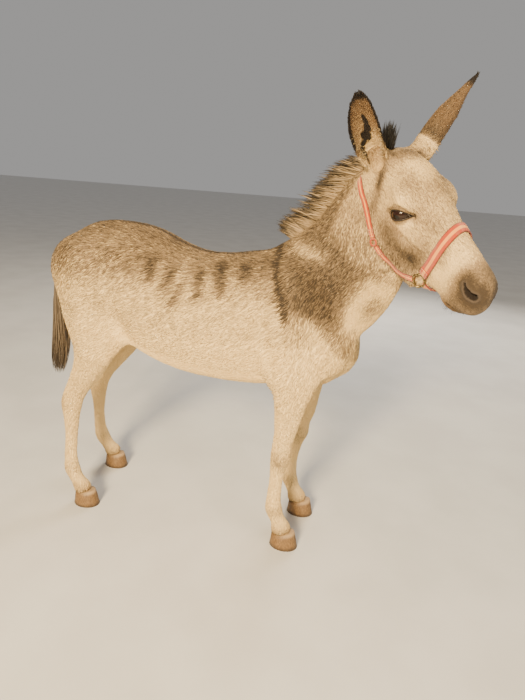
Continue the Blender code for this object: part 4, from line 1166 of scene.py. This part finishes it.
def make_ear_hair(count=190):
    """Long pale hair that curls from the edges of each ear's mouth, up and in over its lower half."""
    rng = np.random.default_rng(61)
    roots, reach, bend = [], [], []
    for name in EARS:
        way = EARS[name][1].normalized()
        for k in range(count):
            share = 0.04 + 0.42 * rng.random() ** 1.3
            middle, mouth, across, radius, wrap = ear_axis(name, share)
            turn = wrap * rng.uniform(0.5, 0.93) * rng.choice((-1, 1))
            spoke = across * math.sin(turn) - mouth * math.cos(turn)
            length = rng.uniform(0.013, 0.027) * (1 - share)
            roots.append(HEAD_PLACE @ (middle + mouth * radius + spoke * (radius - 0.0045)))
            turned = way * rng.uniform(0.8, 1.1) - spoke * rng.uniform(0.1, 0.5)
            turned += mouth * rng.uniform(-0.05, 0.25)
            reach.append(HEAD_TURN @ (turned * length))
            bend.append(HEAD_TURN @ (-spoke * (length * 0.35)))
    places, _, uvs = skin_under(np.array(roots))
    locks("ear_hair", ear_hair_finish, "mane", places, uvs, np.array(reach), np.array(bend),
          rng.uniform(0.001, 0.0019, len(roots)), (0.6, 1.0, 0.7, 0.0), 62)


make_ear_hair()
make_mane()
make_forelock()
make_tail()

# ---------------------------------------------------------------- the eyes
# Two wet dark-brown eyeballs, each with a clear dome over a wide-set, level pupil, held in thin dark lid edges
# with short lashes. The lids themselves are folds of the hide.
eye_finish, tree, shader = new_finish("eye", 0.16, Coat_Weight=0.35, Coat_Roughness=0.03, IOR=1.33)
look = attribute(tree, "look", "Vector")
across, up = node(tree, "SeparateXYZ", Vector=look).outputs[:2]


def from_middle(stretch):
    """How far out on the eyeball's front a point lies, with its height stretched."""
    tall = times(up, stretch)
    squared = reckon("MULTIPLY_ADD", across, across, times(tall, tall))
    return reckon("SQRT", squared)


fibres = noise(look, 14.0, 4.0)
iris = blend(fibres, (0.006, 0.0025, 0.0015), (0.026, 0.01, 0.005))
iris = blend(band(from_middle(2.1), 0.44, 0.36), iris, (0.003, 0.002, 0.002))
white = blend(fibres, (0.012, 0.007, 0.005), (0.03, 0.02, 0.014))
feed(shader, Base_Color=blend(band(from_middle(1.0), 0.7, 0.8), iris, white))

rim_finish, tree, shader = new_finish("lid_edge", 0.5, Coat_Weight=0.1, Coat_Roughness=0.3)
grain = noise(object_place(tree), 800.0, 3.0)
feed(shader, Base_Color=blend(grain, (0.016, 0.011, 0.009), (0.045, 0.03, 0.024)))
bump(shader, grain, 0.0004, 0.6)
lash_finish, tree, shader = new_finish("lash", 0.5)
dark = noise(object_place(tree), 200.0, 2.0)
feed(shader, Base_Color=blend(dark, (0.016, 0.012, 0.01), (0.05, 0.038, 0.028)))


def placed(local, side):
    """A place in the head's frame, on the side that is asked for, as a place in the scene."""
    return HEAD_PLACE @ Vector((local[0], local[1] * side, local[2]))


def wire_rings(bm, spine, outs, radius, around, place):
    """Rings of points round a closed line, and the faces between them."""
    rings = []
    for k, (middle, out) in enumerate(zip(spine, outs)):
        way = (spine[(k + 1) % len(spine)] - spine[k - 1]).normalized()
        level = way.cross(out).normalized()
        turns = [2 * math.pi * m / around for m in range(around)]
        rings.append([bm.verts.new(place(middle + (level * math.cos(turn) + out * math.sin(turn)) * radius))
                      for turn in turns])
    return [[bm.faces.new((rings[k - 1][m - 1], rings[k - 1][m], ring[m], ring[m - 1])) for m in range(around)]
            for k, ring in enumerate(rings)]


def make_eyeball(side_name, side):
    _, along, out, up = slit_frame()
    bm = ball(48, 32)
    looks = []
    for vert in bm.verts:
        way = vert.co.normalized()
        dome = math.exp(-((1 - way.z) / 0.16) ** 2) * 0.06
        looks.append(tuple(way))
        vert.co = placed(EYE + (along * way.x + up * way.y + out * way.z) * (EYE_RADIUS * (1 + dome)), side)
    mesh = closed_mesh(bm, "eyeball_" + side_name)
    set_values(mesh, "look", np.array(looks))
    show("eyeball_" + side_name, mesh, eye_finish, "eye", "eye_" + side_name)


def lid_line(steps=72):
    """The lids' meeting edge on the eyeball, as a closed loop in the head's frame, with how far round it is."""
    middle, along, out, up = slit_frame()
    half = (SLIT[1] - SLIT[0]).length / 2
    loop = []
    for k in range(steps):
        angle = 2 * math.pi * k / steps
        x = math.cos(angle)
        rise = SLIT_UP if angle < math.pi else SLIT_DOWN
        y = math.copysign(abs(math.sin(angle)) ** 1.9, math.sin(angle)) * rise
        flat = middle + along * (x * half) + up * y
        way = flat - EYE
        depth = out.dot(way)
        level = way - out * depth
        reach = EYE_RADIUS + LID * 0.75
        lifted = math.sqrt(max(reach ** 2 - level.length_squared, 0.0)) if level.length < reach else 0.0
        loop.append((EYE + level + out * max(lifted, depth), angle, out, up))
    return loop


def make_lid_edge(name, side):
    bm = bmesh.new()
    spine, _, outs, _ = zip(*lid_line())
    wire_rings(bm, spine, outs, 0.00125, 8, lambda local: placed(local, side))
    show(name, closed_mesh(bm, name), rim_finish, "eye")


def make_lashes(name, side, count=46):
    rng = np.random.default_rng(41)
    loop = lid_line(240)
    roots, reach, bend = [], [], []
    for k in range(count):
        upper = k % 4 != 0
        share = rng.uniform(0.1, 0.9)
        place, angle, out, up = loop[int(share * 120) + (0 if upper else 120)]
        length = (0.0135 if upper else 0.007) * rng.uniform(0.6, 1.0) * math.sin(share * math.pi) ** 0.4
        way = out * 0.9 + up * (0.15 if upper else -0.35) + (place - EYE).normalized() * 0.4
        way = (way + Vector(rng.normal(0, 0.14, 3))).normalized() * length
        droop = up * (-0.25 if upper else -0.3) * length
        for rows, local in ((roots, place), (reach, place + way), (bend, place + droop)):
            rows.append(placed(local, side))
    roots = np.array(roots)
    locks(name, lash_finish, "dark_hair", roots, skin_under(roots)[2], np.array(reach) - roots,
          np.array(bend) - roots, np.full(count, 0.0007), (1.0, 0.8, 0.6, 0.0), 42)


for side_name, side in (("right", -1), ("left", 1)):
    make_eyeball(side_name, side)
    make_lid_edge("lid_edge_" + side_name, side)
    make_lashes("lashes_" + side_name, side)


# ---------------------------------------------------------------- the hooves
# Small upright boxy hooves of dull tan-brown horn, with faint growth rings, fine upright grain, and a soiled,
# worn lower edge. Each stands flat on the floor.
RING_STEP = 0.0062  # from one growth ring to the next
RING_DEPTH = 0.0006

horn_finish, tree, shader = new_finish("horn", 0.55)
place = object_place(tree)
height = node(tree, "SeparateXYZ", Vector=place).outputs[2]
grain_place = node(tree, "Mapping", Vector=place)
grain_place.inputs["Scale"].default_value = (1, 1, 0.12)
grain = noise(grain_place.outputs[0], 420.0, 3.0)
colour = blend(band(grain, 0.3, 0.7), (0.112, 0.056, 0.02), (0.235, 0.135, 0.052))
colour = blend(band(height, 0.05, 0.066), colour, (0.36, 0.24, 0.125))
soil = plus(height, times(noise(place, 60.0, 4.0), 0.03))
colour = blend(band(soil, 0.034, 0.016, 0.0, 0.75), colour, (0.085, 0.055, 0.036))
feed(shader, Base_Color=colour)
bump(shader, plus(grain, noise(place, 90.0, 4.0)), 0.001, 0.7)


def make_hoof(node_name):
    """The hoof's own shape, rounded, with growth rings let into its wall."""
    bm = solids(node_name)
    bmesh.ops.remove_doubles(bm, verts=bm.verts, dist=1e-5)
    bmesh.ops.join_triangles(bm, faces=bm.faces, angle_face_threshold=0.6, angle_shape_threshold=3.0)
    bmesh.ops.subdivide_edges(bm, edges=bm.edges, cuts=3, use_grid_fill=True)
    bmesh.ops.triangulate(bm, faces=bm.faces)
    for turn in range(3):
        wall = [vert for vert in bm.verts if 0.001 < vert.co.z]
        bmesh.ops.smooth_vert(bm, verts=wall, factor=0.4, use_axis_x=True, use_axis_y=True)
    middle = sum((vert.co for vert in bm.verts), Vector()) / len(bm.verts)
    for vert in bm.verts:
        away = (vert.co - middle).to_2d()
        ring = 0.5 + 0.5 * math.cos(2 * math.pi * vert.co.z / RING_STEP)
        vert.co.xy -= away.normalized() * (RING_DEPTH * ring * (0.004 < vert.co.z < 0.062))
    mesh = closed_mesh(bm, node_name + "_horn")
    mesh.set_sharp_from_angle(angle=math.radians(50))
    show(mesh.name, mesh, horn_finish, "hoof", node_name)


for leg in ("fore", "hind"):
    for side_name in ("right", "left"):
        make_hoof(f"hoof_{leg}_{side_name}")

# ---------------------------------------------------------------- the halter
# Orange-red woven webbing with a pale stripe down its middle, folded and stitched round its rings: a wide band
# over the nose, a band under the chin, a strap along each cheek and one over the poll.
WEB_THICK = 0.0026
WEB_LIFT = 0.001  # gap between the coat's surface and the webbing's back
WEB_ROUND = 0.0006  # how far its edges are eased
WEFT = 0.0021  # length of one over-and-under of the weave
SEAM = 0.72  # how far out the stitches run, as a share of the half width

web_finish, tree, shader = new_finish("webbing", 0.72, Sheen_Weight=0.25, Sheen_Roughness=0.4)
woven = node(tree, "UVMap", {"uv_map": "weave"}).outputs[0]
split = node(tree, "SeparateXYZ", Vector=woven)
across, along = split.outputs[:2]
dirt = noise(object_place(tree), 55.0, 5.0)
fray = plus(reckon("ABSOLUTE", across), times(noise(woven, 60.0, 2.0), 0.1))
weave = times(reckon("SINE", times(along, 2 * math.pi / WEFT)), reckon("SINE", times(across, 26.0)))
colour = blend(band(fray, 0.3, 0.38), (0.94, 0.39, 0.085), (0.5, 0.05, 0.008))
for share, over in ((band(fray, 0.84, 0.98), (0.2, 0.022, 0.008)),
                    (band(weave, -1.0, 1.0, 0.0, 0.3), (0.25, 0.04, 0.02)),
                    (band(dirt, 0.48, 0.78, 0.0, 0.55), (0.3, 0.17, 0.1))):
    colour = blend(share, colour, over)
feed(shader, Base_Color=colour)
bump(shader, plus(weave, times(dirt, 1.5)), 0.0007, 0.8)

thread_finish, tree, shader = new_finish("thread", 0.6)
fluff = noise(object_place(tree), 500.0)
feed(shader, Base_Color=blend(fluff, (0.62, 0.42, 0.26), (0.8, 0.62, 0.42)))


def eased(rows, turns):
    rows = np.array(rows)
    for turn in range(turns):
        rows[1:-1] = (rows[:-2] + 2 * rows[1:-1] + rows[2:]) / 4
    return rows


def strap_path(points, step=0.004):
    """Places along a strap on the coat, the ways out of it and across the strap, and the length up to each."""
    rows = smooth_run(points, np.linspace(0, 1, len(points) * 12))
    length = np.concatenate(([0], np.cumsum(np.linalg.norm(np.diff(rows, axis=0), axis=1))))
    even = np.linspace(0, length[-1], int(length[-1] / step) + 2)
    rows = np.stack([np.interp(even, length, rows[:, k]) for k in range(3)], axis=1)
    places, outs, _, _ = zip(*(flesh_surface.find_nearest(HEAD_PLACE @ Vector(row)) for row in rows))
    places, outs = eased(places, 8), unit(eased(outs, 14))
    return places, outs, unit(np.cross(np.gradient(eased(places, 6), axis=0), outs)), even


def web_band(bm, layer, path, half_width, lift=WEB_LIFT, thick=WEB_THICK):
    """A flat band with eased edges, laid along a path."""
    places, outs, acrosses, run = path
    round_off = WEB_ROUND / half_width
    section = ((-1 + round_off, 0, -0.98), (-1, 0.25, -1), (-1, 0.75, -1), (-1 + round_off, 1, -0.98),
               (-0.5, 1.06, -0.5), (0, 1.1, 0), (0.5, 1.06, 0.5),
               (1 - round_off, 1, 0.98), (1, 0.75, 1), (1, 0.25, 1), (1 - round_off, 0, 0.98))
    rings = []
    for place, out, across in zip(places, outs, acrosses):
        rings.append([bm.verts.new(place + across * (half_width * x) + out * (lift + thick * y))
                      for x, y, _ in section])
    for k in range(len(rings) - 1):
        for m in range(len(section)):
            nxt = (m + 1) % len(section)
            face = bm.faces.new((rings[k][m], rings[k][nxt], rings[k + 1][nxt], rings[k + 1][m]))
            face.smooth = True
            for loop, (u, v) in zip(face.loops, ((m, k), (nxt, k), (nxt, k + 1), (m, k + 1))):
                loop[layer].uv = (section[u][2], run[v])
    for ring, k in ((rings[0][::-1], 0), (rings[-1], -1)):
        for loop in bm.faces.new(ring).loops:
            loop[layer].uv = (0.5, run[k])


def part_path(path, low, high):
    """The stretch of a path between two lengths along it; a negative length counts from its end."""
    run = path[3]
    low, high = (value if value >= 0 else run[-1] + value for value in (low, high))
    kept = (run >= low) & (run <= high)
    return tuple(rows[kept] for rows in path)


# Node: half width, its points on the left in the head's frame. A line from y 0 runs over to the right.
STRAPS = {
    "halter_noseband": (0.0165, ((0.344, 0, -0.01), (0.35, 0.03, -0.028), (0.357, 0.049, -0.066),
                                 (0.363, 0.055, -0.119), (0.362, 0.052, -0.165), (0.36, 0.047, -0.192))),
    "halter_chin_strap": (0.009, ((0.398, 0, -0.225), (0.392, 0.026, -0.222), (0.376, 0.043, -0.217))),
    "halter_crown_strap": (0.0085, ((-0.046, 0, -0.06), (-0.042, 0.038, -0.088), (-0.018, 0.078, -0.113),
                                    (0.026, 0.098, -0.138), (0.07, 0.1, -0.162), (0.115, 0.098, -0.193),
                                    (0.158, 0.093, -0.225))),
    "halter_cheek_strap_left": (0.0085, ((0.347, 0.049, -0.22), (0.31, 0.052, -0.24), (0.27, 0.054, -0.256),
                                         (0.222, 0.066, -0.26), (0.179, 0.087, -0.24))),
}


def flipped(line):
    return tuple((x, -y, z) for x, y, z in line)


half_width, line = STRAPS["halter_cheek_strap_left"]
STRAPS["halter_cheek_strap_right"] = half_width, flipped(line)
stitch_rows = []
for name, (half_width, line) in STRAPS.items():
    if line[0][1] == 0:
        line = line[::-1] + flipped(line[1:])
    path = strap_path(line)
    bm = bmesh.new()
    layer = bm.loops.layers.uv.new("weave")
    web_band(bm, layer, path, half_width)
    for low, high in ((0.002, 0.034), (-0.034, -0.002)):
        fold = part_path(path, low, high)
        web_band(bm, layer, fold, half_width * 0.97, WEB_LIFT + WEB_THICK * 1.08, WEB_THICK * 0.8)
        places, outs, acrosses, _ = fold
        tops = places + outs * (WEB_LIFT + WEB_THICK * 2.0)
        stitch_rows += [tops + acrosses * (half_width * share) for share in (-SEAM, SEAM)]
        stitch_rows += [tops[k] + np.outer(np.linspace(-SEAM, SEAM, 6) * half_width, acrosses[k])
                        for k in (1, len(places) // 2, len(places) - 2)]
    bmesh.ops.recalc_face_normals(bm, faces=bm.faces)
    show(name + "_web", mesh_from(bm, name + "_web"), web_finish, "webbing", name)

STITCH = 0.003  # from one stitch to the next
THREAD = 0.00045  # half the thread's thickness


def stitch_tree():
    """Sets stitches of a given length and thickness along every line of the mesh it is given."""
    tree = bpy.data.node_groups.new("stitches", "GeometryNodeTree")
    face = tree.interface
    face.new_socket("Geometry", in_out="INPUT", socket_type="NodeSocketGeometry")
    for name in ("Stitch length", "Thread radius"):
        face.new_socket(name, in_out="INPUT", socket_type="NodeSocketFloat")
    face.new_socket("Finish", in_out="INPUT", socket_type="NodeSocketMaterial")
    face.new_socket("Geometry", in_out="OUTPUT", socket_type="NodeSocketGeometry")
    given, out = tree.nodes.new("NodeGroupInput"), tree.nodes.new("NodeGroupOutput")
    line, dots, bead, copies, real, finish = (tree.nodes.new("GeometryNode" + kind) for kind in (
        "MeshToCurve", "CurveToPoints", "MeshUVSphere", "InstanceOnPoints", "RealizeInstances", "SetMaterial"))
    size, long = tree.nodes.new("ShaderNodeCombineXYZ"), tree.nodes.new("ShaderNodeMath")
    dots.mode = "LENGTH"
    for socket, value in (("Segments", 6), ("Rings", 5), ("Radius", 1.0)):
        bead.inputs[socket].default_value = value
    long.operation = "MULTIPLY"
    long.inputs[1].default_value = 0.36
    for source, output, target, socket in (
            (given, "Geometry", line, 0), (line, 0, dots, 0), (given, "Stitch length", dots, "Length"),
            (dots, "Points", copies, "Points"), (dots, "Rotation", copies, "Rotation"),
            (bead, "Mesh", copies, "Instance"), (given, "Stitch length", long, 0),
            (given, "Thread radius", size, 0), (given, "Thread radius", size, 1),
            (long, 0, size, 2), (size, 0, copies, "Scale"), (copies, 0, real, 0), (real, 0, finish, 0),
            (given, "Finish", finish, "Material"), (finish, 0, out, 0)):
        tree.links.new(source.outputs[output], target.inputs[socket])
    return tree


def run_tree(thing, tree, values):
    """Works a node tree on an object, with its inputs set by name, and gives the result as a plain mesh."""
    work = thing.modifiers.new("work", "NODES")
    work.node_group = tree
    for item in tree.interface.items_tree:
        if item.item_type == "SOCKET" and item.in_out == "INPUT" and item.name in values:
            work[item.identifier] = values[item.name]
    made = worked(thing)
    thing.modifiers.remove(work)
    return made


rows = bpy.data.meshes.new("stitch_rows")
verts, edges = [], []
for row in stitch_rows:
    edges += [(len(verts) + k, len(verts) + k + 1) for k in range(len(row) - 1)]
    verts += [tuple(place) for place in row]
rows.from_pydata(verts, edges, [])
seams = new_piece("halter_stitches", rows, thread_finish)
seams.data = run_tree(seams, stitch_tree(), {"Stitch length": STITCH, "Thread radius": THREAD,
                                             "Finish": thread_finish})
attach(seams, "root")

brass_finish, tree, shader = new_finish("brass", 0.34, Metallic=1.0)
wear = noise(object_place(tree), 160.0, 5.0)
feed(shader, Base_Color=blend(band(wear, 0.35, 0.7), (0.13, 0.09, 0.04), (0.36, 0.27, 0.13)),
     Roughness=band(wear, 0.3, 0.8, 0.25, 0.55))
bump(shader, wear, 0.0003, 0.5)


# Node: place on the left in the head's frame, half length and width, half its wire, squareness, finish, slot.
RINGS = {
    "halter_ring": ((0.36, 0.047, -0.211), (0.02, 0.016), 0.0034, 3.2, brass_finish, "ring"),
    "halter_loop": ((0.168, 0.092, -0.232), (0.0105, 0.0095), 0.0031, 2.4, web_finish, "webbing"),
}


def make_ring(node_name, side, at, half_sizes, wire, squareness, finish, slot, steps=64, around=12):
    """A ring bent from round wire, or from rolled webbing, that lies on the coat."""
    place, out, _, _ = flesh_surface.find_nearest(placed(at, side))
    along = HEAD_TURN @ Vector((0.8, 0, -0.6))
    along = (along - out * along.dot(out)).normalized()
    across = out.cross(along)
    bm = bmesh.new()
    layer = bm.loops.layers.uv.new("weave")
    spine = []
    for k in range(steps):
        angle = 2 * math.pi * k / steps
        c, s = math.cos(angle), math.sin(angle)
        scale = (abs(c) ** squareness + abs(s) ** squareness) ** (-1 / squareness)
        spine.append(place + along * (c * scale * half_sizes[0]) + across * (s * scale * half_sizes[1])
                     + out * (wire + 0.0024))
    for k, faces in enumerate(wire_rings(bm, spine, [out] * steps, wire, around, Vector)):
        for m, face in enumerate(faces):
            for loop, (u, v) in zip(face.loops, ((m - 1, k - 1), (m, k - 1), (m, k), (m - 1, k))):
                loop[layer].uv = (math.sin(2 * math.pi * u / around) * 0.6, v * 0.0012)
    show(node_name + "_wire", closed_mesh(bm, node_name + "_wire"), finish, slot, node_name)


for side_name, side in (("right", -1), ("left", 1)):
    for base, row in RINGS.items():
        make_ring(f"{base}_{side_name}", side, *row)

# ---------------------------------------------------------------- the feelers
# A few stiff fine dark hairs that stand out by a centimetre or two, through the coat of the lips, the chin and
# the cheek below the eye.
feeler_spots = (((0.5, 0.04, -0.145), 0.028, 60), ((0.47, 0.03, -0.215), 0.026, 70),
                ((0.215, 0.085, -0.12), 0.012, 10))
rng = np.random.default_rng(51)
near = []
for centre, spread, count in feeler_spots:
    for side in (-1, 1):
        near += [placed(local, side) for local in rng.normal(0, spread * 0.6, (count // 2, 3)) + centre]
places, outs, uvs = skin_under(np.array(near))
forward = np.array(HEAD_TURN @ Vector((0.5, 0, -0.45)))
reach = unit(outs + forward * 0.8 + rng.normal(0, 0.15, places.shape))
reach *= rng.uniform(0.01, 0.022, len(places))[:, None]
locks("feelers", lash_finish, "dark_hair", places, uvs, reach, forward * 0.004, np.full(len(places), 0.0006),
      (1.0, 0.8, 0.5, 0.0), 52)
